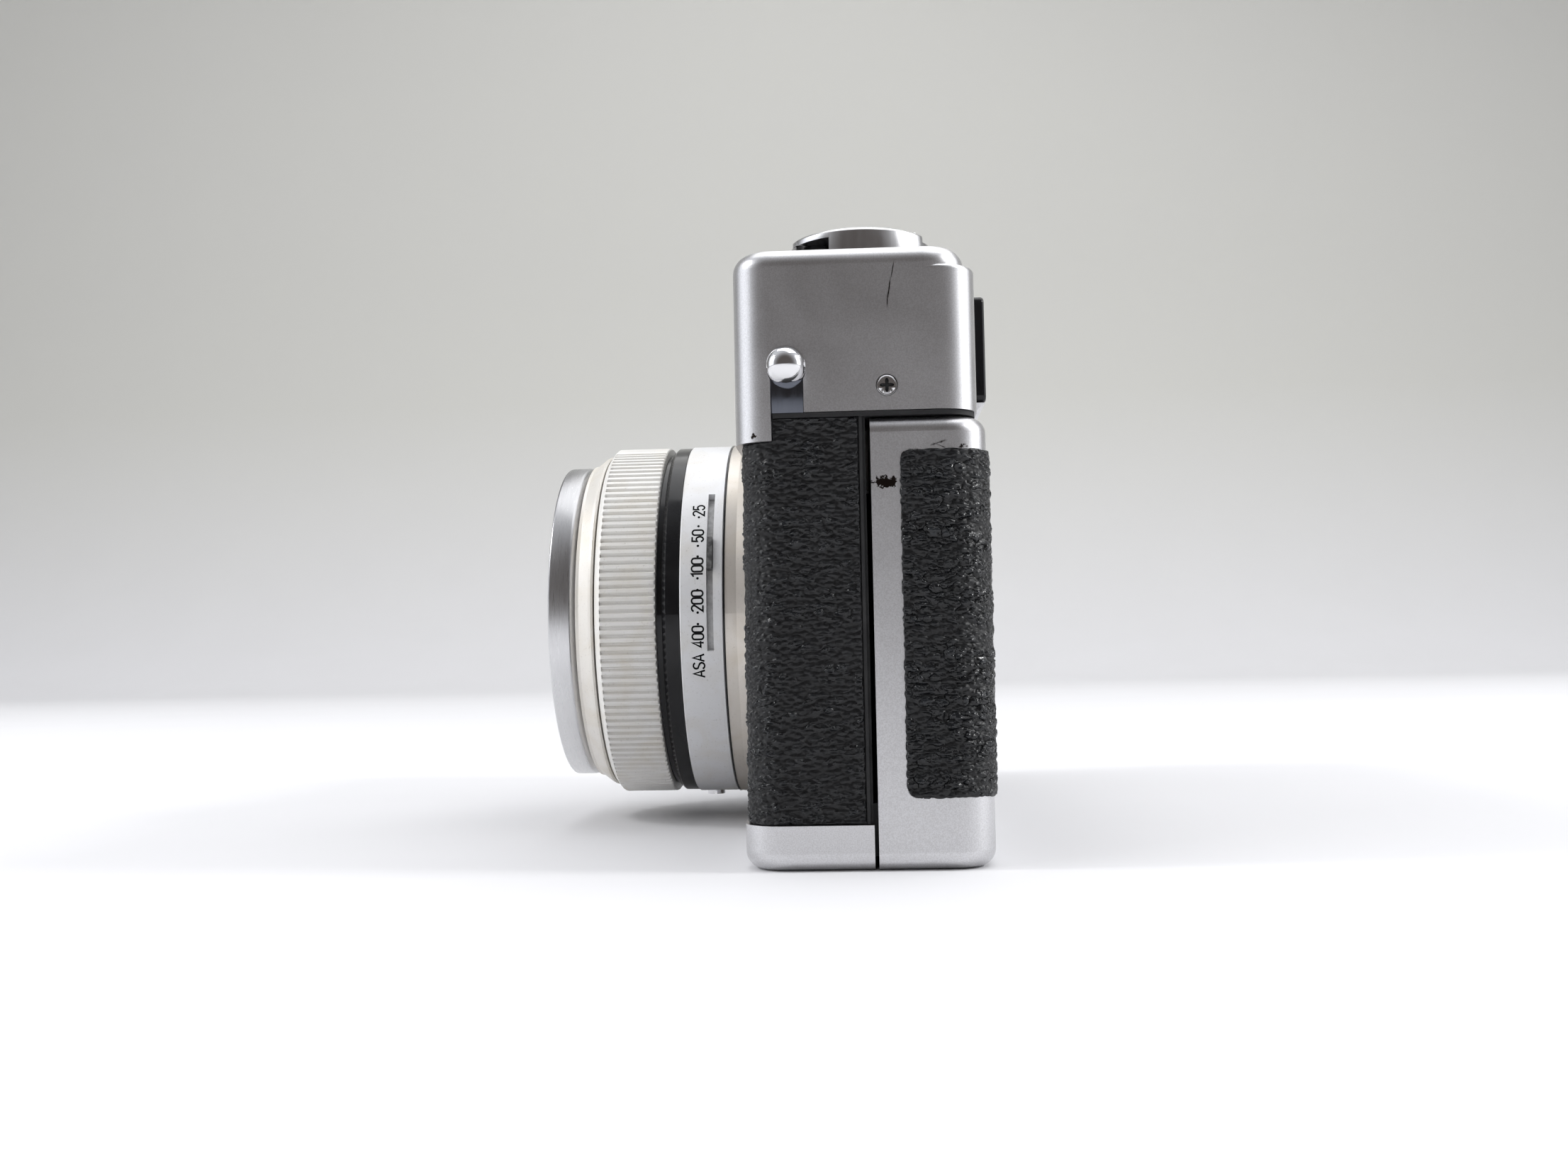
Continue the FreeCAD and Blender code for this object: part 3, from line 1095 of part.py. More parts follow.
def shutter_blade(index):
    """A leaf on an arm: it covers its part of the aperture while the shutter is shut."""
    pivot_at = math.radians(90 + 72 * index)
    pivot = (f"blade_pivot * {math.cos(pivot_at):.6f}", f"lens_z + blade_pivot * {math.sin(pivot_at):.6f}")
    leaf_at = pivot_at + math.radians(number("blade_lead"))
    leaf = (f"blade_offset * {math.cos(leaf_at):.6f}", f"lens_z + blade_offset * {math.sin(leaf_at):.6f}")
    front = f"blade_first + {index} * blade_pitch"
    back = f"blade_first + {index} * blade_pitch + blade_sheet"
    start = FreeCAD.Vector(number(pivot[0]), 0, number(pivot[1]))
    run = FreeCAD.Vector(number(leaf[0]), 0, number(leaf[1])) - start
    arm = doc.addObject("Part::Box", "Arm")
    bind(arm, Width="2.2", Height="blade_sheet")
    arm.Length = run.Length
    along = FreeCAD.Rotation(run, FreeCAD.Vector(), FreeCAD.Vector(0, 1, 0), "XZY")
    aside = along.multVec(FreeCAD.Vector(0, -1.1, 0))
    arm.Placement.Rotation = along
    bind(arm, x=f"{pivot[0]} + {aside.x:.5f}", y=front, z=f"{pivot[1]} + {aside.z:.5f}")
    solid = fuse(arm, rod("y", "blade_leaf", front, back, leaf), rod("y", "1.4", front, back, pivot))
    return cut(solid, rod("y", "0.56", f"{front} - 1", f"{back} + 1", pivot))


# ---- the whole camera ----------------------------------------------------------------------------------------

MAKERS = [
    chassis, film_gate, gear_plate, body_covering, top_cover, window_panel, finder_housing, finder_optics, eyepiece_frame,
    eyepiece_lens, accessory_shoe, shoe_spring, cover_screws, strap_lugs, bottom_cover, tripod_socket, rewind_button,
    battery_cover, battery, back_door, door_covering, pressure_plate, pressure_spring, hinge_pin, take_up_spool,
    sprocket, idler_gear, advance_lever, advance_cap, rewind_knob, rewind_crank, crank_grip, rewind_shaft,
    latch_slide, release_collar, release_button, counter_dial, counter_window, self_timer_lever, lens_collar,
    asa_ring, asa_slider, ring_stud, index_band, focus_ring, helicoid_sleeve, front_barrel, filter_ring, name_ring,
    lens_tube, shutter_case,
]
for maker in MAKERS:
    node(maker.__name__, maker())
node("finder_windows", fuse(window_pane(0), window_pane(2)))
node("illumination_window", window_pane(1))
node("front_element", lens_glass("glass_radius", "-36.1", "-32.6", "40", "90"))
node("inner_elements", group(
    lens_glass("9.5", "-31.6", "-28.2", "28", "40"), lens_glass("8.0", "-12.8", "-9.3", "24", "30"),
))
for blade in range(5):
    node(f"shutter_blade_{blade + 1}", shutter_blade(blade))
doc.recompute()

failed = [o.Name for o in doc.Objects if {"Invalid", "Error"} & set(o.State)]
if failed:
    raise SystemExit(f"these objects failed: {failed}")
os.makedirs("parts", exist_ok=True)
for name, obj in NODES.items():
    shape = obj.Shape
    if shape.isNull() or not shape.isValid() or not shape.Solids:
        raise SystemExit(f"{name} has no valid solid")
    shape.exportStep(f"parts/{name}.step")
    print(f"{name:22s} {len(shape.Solids)} solids {shape.Volume:10.1f} mm3")
print(len(NODES), "nodes")
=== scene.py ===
import json
import math

import bmesh
import bpy
import numpy as np
from mathutils import Matrix, Vector


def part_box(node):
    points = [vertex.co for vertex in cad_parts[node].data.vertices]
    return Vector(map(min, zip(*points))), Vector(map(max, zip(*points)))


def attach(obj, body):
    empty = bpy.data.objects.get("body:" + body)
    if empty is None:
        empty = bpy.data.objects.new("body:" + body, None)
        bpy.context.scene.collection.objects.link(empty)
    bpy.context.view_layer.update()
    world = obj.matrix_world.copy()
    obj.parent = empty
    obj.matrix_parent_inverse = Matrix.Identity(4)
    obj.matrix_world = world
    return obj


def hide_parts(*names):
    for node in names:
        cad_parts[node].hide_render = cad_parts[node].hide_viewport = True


# Looks of a compact 35 mm rangefinder camera. Metres, in the frame of the CAD model: +Z up, the lens
# looks along -Y, and the side with the rewind knob is +X.

MM = 0.001
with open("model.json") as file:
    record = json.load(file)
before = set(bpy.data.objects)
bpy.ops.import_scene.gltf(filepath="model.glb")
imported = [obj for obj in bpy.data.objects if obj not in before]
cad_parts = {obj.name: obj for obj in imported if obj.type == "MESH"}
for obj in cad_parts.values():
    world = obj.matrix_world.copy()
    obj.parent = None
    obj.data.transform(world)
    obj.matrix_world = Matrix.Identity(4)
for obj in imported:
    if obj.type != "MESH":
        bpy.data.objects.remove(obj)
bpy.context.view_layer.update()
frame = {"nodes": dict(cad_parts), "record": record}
scene = bpy.context.scene
SLOT_OF = {part["node"]: part["material_slot"] for part in frame["record"]["subparts"]}
BODY_OF = {node: body for body, nodes in frame["record"]["behaviour"]["bodies"].items() for node in nodes}


def box_mm(node):
    """A CAD node's lowest and highest corner, in millimetres."""
    low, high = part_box(node)
    return low / MM, high / MM


def linked(name, data):
    """A new object in the scene."""
    made = bpy.data.objects.new(name, data)
    scene.collection.objects.link(made)
    return made


LENS_Z = sum(corner.z for corner in box_mm("filter_ring")) / 2


# ---- materials -----------------------------------------------------------------------------------

class Finish:
    """A principled material whose patterns read the object's own coordinates."""

    def __init__(self, name, **fixed):
        self.material = bpy.data.materials.new(name)
        self.material.use_nodes = True
        self.tree = self.material.node_tree
        self.shader = self.tree.nodes["Principled BSDF"]
        for socket, value in fixed.items():
            self.shader.inputs[socket.replace("_", " ")].default_value = value
        self.place = self.node("ShaderNodeTexCoord").outputs["Object"]
        self.normal = None

    def node(self, kind, **settings):
        made = self.tree.nodes.new(kind)
        for key, value in settings.items():
            setattr(made, key, value)
        return made

    def join(self, output, socket):
        self.tree.links.new(output, socket)

    def set_or_join(self, value, socket):
        if isinstance(value, bpy.types.NodeSocket):
            self.join(value, socket)
        else:
            socket.default_value = value

    def scaled_place(self, size_mm, stretch):
        """The coordinates in steps of size_mm, longer along each axis by its stretch."""
        mapping = self.node("ShaderNodeMapping")
        mapping.inputs["Scale"].default_value = [1 / (size_mm * MM * s) for s in stretch]
        self.join(self.place, mapping.inputs["Vector"])
        return mapping.outputs["Vector"]

    def height(self):
        """The height above the frame's floor, in metres."""
        parts = self.node("ShaderNodeSeparateXYZ")
        self.join(self.place, parts.inputs[0])
        return parts.outputs["Z"]

    def noise(self, size_mm, detail=3.0, stretch=(1, 1, 1), distortion=0.0):
        """Noise with features of about size_mm."""
        made = self.node("ShaderNodeTexNoise")
        made.inputs["Scale"].default_value = 1.0
        made.inputs["Detail"].default_value = detail
        made.inputs["Distortion"].default_value = distortion
        self.join(self.scaled_place(size_mm, stretch), made.inputs["Vector"])
        return made.outputs[0]

    def cells(self, size_mm, stretch=(1, 1, 1)):
        """Rounded cells of about size_mm: 0 in the middle of each, rising to its border."""
        made = self.node("ShaderNodeTexVoronoi", feature="SMOOTH_F1")
        made.inputs["Scale"].default_value = 1.0
        made.inputs["Smoothness"].default_value = 0.25
        self.join(self.scaled_place(size_mm, stretch), made.inputs["Vector"])
        return made.outputs["Distance"]

    def spread(self, source, low, high, source_low=0.35, source_high=0.65):
        """The pattern, from source_low to source_high, stretched to low and high."""
        made = self.node("ShaderNodeMapRange")
        values = (source_low, source_high, low, high)
        for socket, value in zip(("From Min", "From Max", "To Min", "To Max"), values):
            made.inputs[socket].default_value = value
        self.join(source, made.inputs["Value"])
        return made.outputs["Result"]

    def sum(self, first, second):
        made = self.node("ShaderNodeMath", operation="ADD")
        self.set_or_join(first, made.inputs[0])
        self.set_or_join(second, made.inputs[1])
        return made.outputs[0]

    def mix(self, factor, first, second):
        """A colour between first and second."""
        made = self.node("ShaderNodeMix", data_type="RGBA")
        self.join(factor, made.inputs[0])
        for value, socket in ((first, made.inputs[6]), (second, made.inputs[7])):
            self.set_or_join(value if isinstance(value, bpy.types.NodeSocket) else (*value, 1), socket)
        return made.outputs[2]

    def distance(self, centre_mm, scale=(1, 1, 1), turn=0.0):
        """Millimetres from a point, each axis divided by its scale, after a turn about X in degrees."""
        turned_axes = self.node("ShaderNodeMapping")
        rotation = Matrix.Rotation(math.radians(turn), 3, "X")
        turned_axes.inputs["Rotation"].default_value = (math.radians(turn), 0, 0)
        turned_axes.inputs["Location"].default_value = -(rotation @ Vector(centre_mm)) * MM
        self.join(self.place, turned_axes.inputs["Vector"])
        scaled = self.node("ShaderNodeMapping")
        scaled.inputs["Scale"].default_value = [1 / (MM * s) for s in scale]
        self.join(turned_axes.outputs["Vector"], scaled.inputs["Vector"])
        made = self.node("ShaderNodeVectorMath", operation="LENGTH")
        self.join(scaled.outputs["Vector"], made.inputs[0])
        return made.outputs["Value"]

    def colour(self, output):
        self.join(output, self.shader.inputs["Base Color"])
        return self

    def rough(self, output):
        self.join(output, self.shader.inputs["Roughness"])
        return self

    def bump(self, source, height_mm):
        made = self.node("ShaderNodeBump")
        made.inputs["Distance"].default_value = height_mm * MM
        self.join(source, made.inputs["Height"])
        if self.normal is not None:
            self.join(self.normal, made.inputs["Normal"])
        self.normal = made.outputs["Normal"]
        self.join(self.normal, self.shader.inputs["Normal"])
        return self


def satin_chrome(name="satin_chrome", marks=()):
    """Matt chrome plate: fine grain, hand smudges, and a few marks down to dark metal."""
    made = Finish(name, Metallic=1.0)
    grain = made.noise(0.16, 2)
    smudge = made.noise(9, 4, distortion=0.6)
    colour = made.mix(made.spread(smudge, 0, 1, 0.3, 0.7), (0.705, 0.705, 0.72), (0.735, 0.735, 0.75))
    colour = made.mix(made.spread(grain, 0, 0.42, 0.35, 0.65), colour, (0.45, 0.44, 0.44))
    roughness = made.spread(smudge, 0.315, 0.345)
    for centre, size, soft, turn, wander in marks:
        wave = made.spread(made.noise(0.45, 3), -wander, wander, 0.3, 0.7)
        ragged = made.sum(made.distance(centre, size, turn), wave)
        mask = made.spread(ragged, 1, 0, 1 - soft, 1)
        colour = made.mix(mask, colour, (0.020, 0.014, 0.012))
    made.colour(colour).rough(roughness)
    return made.bump(grain, 0.0022).material


def bright_chrome(name="bright_chrome", tint=(0.80, 0.80, 0.81), low=0.05, high=0.14):
    """Polished chrome with faint wiping marks."""
    made = Finish(name, Metallic=1.0)
    wipe = made.noise(3, 4, stretch=(1, 0.3, 2))
    haze = made.noise(12, 3)
    darker = [c * 0.86 for c in tint]
    made.colour(made.mix(made.spread(haze, 0, 1), tint, darker))
    made.rough(made.spread(wipe, low, high))
    return made.bump(made.noise(0.5, 3, stretch=(4, 1, 4)), 0.0004).material


def cream_aluminium(name="cream_aluminium", tint=(0.80, 0.79, 0.765), metallic=0.15, low=0.38, high=0.50):
    """Pale anodised aluminium, a little yellowed, with grime in patches."""
    made = Finish(name, Metallic=metallic)
    stain = made.noise(6, 5, distortion=0.8)
    speck = made.noise(0.35, 2)
    yellowed = [c * f for c, f in zip(tint, (0.93, 0.90, 0.84))]
    colour = made.mix(made.spread(stain, 0, 1, 0.45, 0.8), tint, yellowed)
    colour = made.mix(made.spread(speck, 0, 0.35, 0.62, 0.8), colour, (0.33, 0.31, 0.27))
    made.colour(colour).rough(made.spread(stain, low, high))
    return made.bump(made.noise(0.12, 2), 0.0012).material


def turned_metal(name, tint, low, high, lines_mm=0.09):
    """Lathe-turned metal with fine rings round the lens axis."""
    made = Finish(name, Metallic=1.0)
    lines = made.noise(lines_mm, 2, stretch=(60, 1, 60))
    patch = made.noise(5, 3)
    made.colour(made.mix(made.spread(patch, 0, 1), tint, [c * 0.88 for c in tint]))
    made.rough(made.spread(lines, low, high))
    return made.bump(lines, 0.0012).material


def brushed_ring():
    """Brushed rim of the filter ring, painted paler below than above: a painted reflection of the bright
    floor.
    """
    made = Finish("brushed_ring", Metallic=1.0)
    lines = made.noise(0.07, 2, stretch=(60, 1, 60))
    # Painted reflection: pale at the bottom of the ring and dark at its top, as the floor's and the room's
    # light would show in it.
    half_height = 24
    rise = made.spread(made.height(), 0, 1, (LENS_Z - half_height) * MM, (LENS_Z + half_height) * MM)
    tone_with_painted_light = made.mix(rise, (0.84, 0.84, 0.85), (0.42, 0.42, 0.43))
    scuffs = made.noise(1.2, 5, stretch=(1, 0.4, 2))
    made.colour(made.mix(made.spread(scuffs, 0, 0.35, 0.6, 0.8), tone_with_painted_light, (0.9, 0.9, 0.9)))
    made.rough(made.spread(lines, 0.27, 0.37))
    return made.bump(lines, 0.0012).material


def slider_metal():
    """The film speed slider: a pale band under the slot, and a darker tab further out."""
    made = Finish("slider_metal", Metallic=0.3)
    band_radius, blend, no_matter = 27.5, 0.1, 10000
    from_axis = made.distance((0, 0, LENS_Z), (1, no_matter, 1))
    out = made.spread(from_axis, 0, 1, band_radius, band_radius + blend)
    wear = made.noise(0.6, 4)
    pale = made.mix(made.spread(wear, 0, 1), (0.46, 0.46, 0.46), (0.60, 0.60, 0.60))
    dark = made.mix(made.spread(wear, 0, 1), (0.07, 0.07, 0.07), (0.17, 0.17, 0.17))
    made.colour(made.mix(out, pale, dark)).rough(made.spread(wear, 0.35, 0.5))
    return made.bump(made.noise(0.2, 2), 0.002).material


def painted(name, tint, worn, low, high, grain_mm=0.3, height_mm=0.003, **fixed):
    """Paint or plastic: a tint with rubbed patches, roughness from low to high, and a fine skin."""
    made = Finish(name, **fixed)
    patch = made.noise(7, 5, distortion=0.5)
    made.colour(made.mix(made.spread(patch, 0, 1, 0.45, 0.75), tint, worn))
    made.rough(made.spread(made.noise(2.5, 4), low, high))
    return made.bump(made.noise(grain_mm, 3), height_mm).material


def leatherette():
    """Dark blue-grey embossed vinyl; its height attribute paints shade into the creases and a highlight
    onto the crests, and leaves the crests glossier, as if rubbed.
    """
    made = Finish("leatherette", Specular_IOR_Level=0.42)
    height = made.node("ShaderNodeAttribute", attribute_name="crease").outputs["Fac"]
    pebble = made.cells(0.74, (1, 1.35, 0.8))
    patch = made.noise(11, 4, distortion=0.4)
    tone_with_painted_light = made.mix(made.spread(patch, 0, 1), (0.0050, 0.0056, 0.0068), (0.0080, 0.0088, 0.0104))
    # Painted shade: darker in the creases.
    tone_with_painted_light = made.mix(made.spread(height, 1, 0, 0.0, 0.45), tone_with_painted_light, (0.0012, 0.0012, 0.0015))
    # Painted shade: darker round the borders of the pebbles.
    tone_with_painted_light = made.mix(made.spread(pebble, 0, 0.8, 0.42, 0.75), tone_with_painted_light, (0.0020, 0.0020, 0.0024))
    # Painted highlight: paler on the crests.
    made.colour(made.mix(made.spread(height, 0, 1, 0.78, 1.0), tone_with_painted_light, (0.014, 0.016, 0.019)))
    made.rough(made.spread(height, 0.46, 0.15, 0.2, 0.85))
    made.bump(made.spread(pebble, 1, 0, 0.05, 0.75), 0.26)
    return made.bump(made.noise(0.10, 3), 0.004).material


def glass(name, tint, coat):
    """Coated optical glass; the coating's colour is on the surface's own gloss."""
    made = Finish(name, Transmission_Weight=1.0, IOR=1.52, Specular_Tint=(*coat, 1), Coat_Weight=0.3)
    dust = made.noise(1.4, 5)
    made.colour(made.mix(made.spread(dust, 0, 1, 0.5, 0.8), tint, [c * 0.96 for c in tint]))
    made.rough(made.spread(dust, 0.015, 0.05, 0.5, 0.8))
    return made.material


def frosted():
    """Ribbed milky glass of the illumination window."""
    made = Finish("frosted_glass", IOR=1.49, Transmission_Weight=0.35)
    ribs = made.noise(0.5, 1, stretch=(1, 1, 12))
    made.colour(made.mix(made.spread(ribs, 0, 1), (0.72, 0.75, 0.74), (0.86, 0.88, 0.87)))
    made.rough(made.spread(ribs, 0.35, 0.5))
    return made.bump(ribs, 0.05).material


# Chips and scratches on the two covers: centre, half sizes (mm), how soft the edge is,
# the turn in degrees and how ragged it is.
DOOR_MARKS = (
    ((70, 10.3, 47.15), (1.2, 1.5, 0.72), 0.2, 0, 0.5),
    ((70, 19.95, 51.2), (1.0, 0.5, 0.4), 0.4, 0, 0.5),
    ((70, 16.9, 51.75), (1.2, 1.3, 0.16), 0.9, -18, 0.4),
    ((70, 17.2, 51.35), (1.2, 0.9, 0.10), 0.9, 24, 0.4),
)
COVER_MARKS = (
    ((70, -5.7, 53.25), (2.0, 0.42, 0.34), 0.2, 0, 0.5),
    ((70, 11.78, 73.1), (1.5, 0.085, 1.5), 0.6, 11, 0.12),
    ((70, 11.35, 71.0), (1.5, 0.11, 1.7), 0.6, 8, 0.12),
    ((70, 11.08, 69.4), (1.5, 0.085, 1.2), 0.6, 3, 0.12),
)

MATERIALS = {
    "satin_chrome": satin_chrome(),
    "bright_chrome": bright_chrome(),
    "cream_aluminium": cream_aluminium(),
    "bare_aluminium": turned_metal("bare_aluminium", (0.70, 0.70, 0.70), 0.28, 0.42),
    "black_enamel": painted("black_enamel", (0.008, 0.008, 0.009), (0.014, 0.014, 0.015), 0.10, 0.20,
                            0.6, 0.0012, Specular_IOR_Level=0.3),
    "black_casting": painted("black_casting", (0.013, 0.013, 0.014), (0.026, 0.026, 0.026), 0.55, 0.72,
                             0.25, 0.012),
    "leatherette": leatherette(),
    "black_plastic": painted("black_plastic", (0.014, 0.014, 0.015), (0.024, 0.024, 0.025), 0.32, 0.48,
                             0.2, 0.004),
    "spring_steel": turned_metal("spring_steel", (0.56, 0.56, 0.57), 0.26, 0.40, 0.2),
    "brass_parts": turned_metal("brass_parts", (0.74, 0.56, 0.27), 0.24, 0.38, 0.15),
    "counter_plastic": painted("counter_plastic", (0.80, 0.79, 0.76), (0.72, 0.70, 0.66), 0.35, 0.5),
    "optical_glass": glass("optical_glass", (0.93, 0.95, 0.97), (0.85, 0.72, 1.0)),
    "frosted_glass": frosted(),
}
# Nodes whose look differs from the rest of their slot.
OWN_LOOKS = {
    "top_cover": satin_chrome("cover_chrome", COVER_MARKS),
    "back_door": satin_chrome("door_chrome", DOOR_MARKS),
    "asa_ring": cream_aluminium("scale_ring", (0.80, 0.805, 0.82), 0.2, 0.40, 0.48),
    "asa_slider": slider_metal(),
    "front_barrel": cream_aluminium("milky_aluminium", (0.78, 0.755, 0.71), 0.25, 0.34, 0.44),
    # The collar's darker, warmer tint is painted shade, standing in for the dark leatherette it reflects.
    "lens_collar": cream_aluminium("collar_shaded_aluminium", (0.66, 0.62, 0.57), 0.6, 0.30, 0.40),
}
KNOB_CHROME = bright_chrome("knob_chrome", (0.74, 0.74, 0.75), 0.20, 0.27)
LUG_PLATE = bright_chrome("lug_plate", (0.16, 0.17, 0.20), 0.06, 0.12)
SCALE_INK = painted("scale_ink", (0.008, 0.008, 0.009), (0.016, 0.016, 0.016), 0.75, 0.85,
                    Specular_IOR_Level=0.1)

for node, obj in frame["nodes"].items():
    for place in obj.material_slots:
        place.material = OWN_LOOKS.get(node, MATERIALS[SLOT_OF[node]])


# ---- meshes --------------------------------------------------------------------------------------

def piece(name, points_mm, faces, like, material=None, sharp=35, replaces=(), slot=None):
    """A new mesh piece, from points in millimetres, that rides as the CAD node it is like."""
    mesh = bpy.data.meshes.new(name)
    mesh.from_pydata((np.asarray(points_mm, float) * MM).tolist(), [], [list(map(int, f)) for f in faces])
    mesh.validate()
    mesh.materials.append(material or MATERIALS[SLOT_OF[like]])
    mesh.shade_smooth()
    mesh.set_sharp_from_angle(angle=math.radians(sharp))
    made = linked(name, mesh)
    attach(made, BODY_OF[like])
    if replaces:
        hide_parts(*replaces)
    return made


def grid_faces(rows, columns, closed_rows=False, closed_columns=False):
    """Quads over a grid of points numbered row by row."""
    numbers = np.arange(rows * columns).reshape(rows, columns)
    if closed_rows:
        numbers = np.vstack([numbers, numbers[:1]])
    if closed_columns:
        numbers = np.hstack([numbers, numbers[:, :1]])
    quads = np.stack([numbers[:-1, :-1], numbers[:-1, 1:], numbers[1:, 1:], numbers[1:, :-1]], -1)
    return quads.reshape(-1, 4)


def on_lens(along, radius, angle):
    """Points round the lens axis; the angle starts at +X and rises towards +Z."""
    return np.stack([radius * np.cos(angle), along + 0 * angle, LENS_Z + radius * np.sin(angle)], -1)


def upright_at(centre, up=1):
    """Points round a vertical axis; up is -1 where along runs downwards."""
    def placed(along, radius, angle):
        x, y = centre[0] + radius * np.cos(angle), centre[1] + radius * np.sin(angle)
        return np.stack([x, y, up * along + 0 * angle], -1)
    return placed


def along_x(side, centre):
    """Points round an axis that runs out of the camera's side; side is 1 for +X."""
    def placed(along, radius, angle):
        y, z = centre[0] + radius * np.cos(angle), centre[1] + radius * np.sin(angle)
        return np.stack([side * along + 0 * angle, y, z], -1)
    return placed


def turned(name, profile, placed, like, segments=256, **more):
    """A closed ring from a closed profile of (along, radius), or of such profiles for each angle."""
    profile = np.asarray(profile, float)
    if profile.ndim == 2:
        profile = np.repeat(profile[None], segments, 0)
    angles = np.linspace(0, 2 * math.pi, len(profile), endpoint=False)[:, None]
    points = placed(profile[..., 0], profile[..., 1], angles + 0 * profile[..., 0])
    faces = grid_faces(*profile.shape[:2], closed_rows=True, closed_columns=True)
    made = piece(name, points.reshape(-1, 3), faces, like, **more)
    outward(made)
    return made


def outward(obj):
    """Turns every face of a closed mesh outwards."""
    edit = bmesh.new()
    edit.from_mesh(obj.data)
    bmesh.ops.recalc_face_normals(edit, faces=edit.faces)
    edit.to_mesh(obj.data)
    edit.free()


# ---- leatherette ---------------------------------------------------------------------------------

# Steps of its mesh in millimetres: along the far sides, along the side seen closely (+X), and upwards.
GRAIN_STEP, FINE_STEP, ROW_STEP = 0.34, 0.16, 0.15
CREASE_DEPTH = 0.34
SHEET_THICKNESS = 0.45
CALM_EDGE, CALM_HEIGHT = 0.45, 0.55     # near its border the sheet levels out to this height
ROLL_DEPTH, ROLL_REACH = 0.10, 0.2      # the border itself bends down


def gradient_noise(u, v, seed):
    """Smooth noise between about -1 and 1, with features one unit long."""
    turns = np.random.default_rng(seed).uniform(0, 2 * math.pi, (256, 256))
    low_u, low_v = np.floor(u).astype(int), np.floor(v).astype(int)
    du, dv = u - low_u, v - low_v
    total = 0
    for step_u in (0, 1):
        for step_v in (0, 1):
            turn = turns[(low_u + step_u) % 256, (low_v + step_v) % 256]
            dot = np.cos(turn) * (du - step_u) + np.sin(turn) * (dv - step_v)
            weight_u = du if step_u else 1 - du
            weight_v = dv if step_v else 1 - dv
            total = total + dot * (weight_u**2 * (3 - 2 * weight_u)) * (weight_v**2 * (3 - 2 * weight_v))
    return total * 1.5


def creases(u, v):
    """Height of embossed grain, 0 in a crease and 1 on a crest; grains lie along u.

    A crease runs where a noise crosses zero: coarse ones, finer ones between them, and long furrows.
    """
    bent_u = u + 0.5 * gradient_noise(u / 1.9, v / 0.9, 1)
    bent_v = v + 0.28 * gradient_noise(u / 1.3, v / 0.8, 2)
    coarse = np.abs(gradient_noise(bent_u / 1.9, bent_v / 0.84, 3))
    fine = np.abs(gradient_noise(bent_u / 0.85, bent_v / 0.48, 4))
    furrow = np.abs(gradient_noise(u / 6.0 + 40, bent_v / 1.40, 6))
    broad = 0.5 + 0.5 * gradient_noise(u / 5, v / 3, 5)
    grains = np.minimum(np.clip(coarse * 2.6, 0, 1), 0.40 + 0.60 * np.clip(fine * 2.8, 0, 1))
    grains = np.minimum(grains, 0.05 + 0.95 * np.clip(furrow * 2.9, 0, 1))
    return np.clip(grains * (0.80 + 0.20 * broad), 0, 1)


def strip_outline(low, high, corner):
    """A U in plan, from (low.x, high.y) round low.y to (high.x, high.y): points, normals, arc lengths."""
    steps = (GRAIN_STEP, GRAIN_STEP, FINE_STEP)
    runs = [((low.x, high.y), (low.x, low.y + corner)), ((low.x + corner, low.y), (high.x - corner, low.y)),
            ((high.x, low.y + corner), (high.x, high.y))]
    centres = [(low.x + corner, low.y + corner), (high.x - corner, low.y + corner)]
    points, normals = [], []
    for number, (start, end) in enumerate(runs):
        start, end = np.array(start), np.array(end)
        count = max(2, round(float(np.linalg.norm(end - start)) / steps[number]))
        direction = (end - start) / np.linalg.norm(end - start)
        for t in np.linspace(0, 1, count, endpoint=number == 2):
            points.append(start + (end - start) * t)
            normals.append((direction[1], -direction[0]))
        if number < 2:
            turns = max(2, round(corner * math.pi / 2 / steps[number + 1]))
            for t in np.linspace(0, 1, turns, endpoint=False):
                angle = math.pi + (number + t) * math.pi / 2
                normals.append((math.cos(angle), math.sin(angle)))
                points.append(np.array(centres[number]) + corner * np.array(normals[-1]))
    points, normals = np.array(points), np.array(normals)
    lengths = np.concatenate([[0], np.cumsum(np.linalg.norm(np.diff(points, axis=0), axis=1))])
    return points, normals, lengths


def covering(name, like, outline, levels, keep=None, shift=0.0, corner=0.0):
    """Embossed leatherette: a displaced strip with its own thickness. keep says which faces stay."""
    points, normals, lengths = outline
    u, v = np.meshgrid(lengths, levels)
    height = creases(u + shift, v + shift)
    from_end = np.minimum(v - levels[0], levels[-1] - v)
    from_side = np.minimum(u, lengths[-1] - u)
    edge = np.minimum(from_end, from_side)
    calm = np.clip(edge / CALM_EDGE, 0, 1)
    height = CALM_HEIGHT + (height - CALM_HEIGHT) * calm
    drop = CREASE_DEPTH * (1 - height) + ROLL_DEPTH * np.exp(-np.maximum(edge, 0) / ROLL_REACH)
    x = points[None, :, 0] - normals[None, :, 0] * drop
    y = points[None, :, 1] - normals[None, :, 1] * drop
    if corner:
        # The strip ends in sides that run along Y, so round corners come from drawing the ends in.
        inset = corner - np.sqrt(np.maximum(corner**2 - np.maximum(corner - from_end, 0) ** 2, 0))
        drawn_length = 3.0
        y = y + inset * np.clip(1 - from_side / drawn_length, 0, 1)
    grid = np.stack([x, y, v], -1)
    faces = grid_faces(len(levels), len(lengths))
    if keep:
        faces = faces[keep(grid.reshape(-1, 3)[faces].mean(1))]
    used = np.unique(faces)
    renumber = np.zeros(grid.shape[0] * grid.shape[1], int)
    renumber[used] = np.arange(len(used))
    made = piece(name, grid.reshape(-1, 3)[used], renumber[faces], like, replaces=[like], sharp=180)
    attribute = made.data.attributes.new("crease", "FLOAT", "POINT")
    attribute.data.foreach_set("value", height.reshape(-1)[used].astype(np.float32))
    backing = made.modifiers.new("backing", "SOLIDIFY")
    backing.thickness = SHEET_THICKNESS * MM
    backing.offset = -1


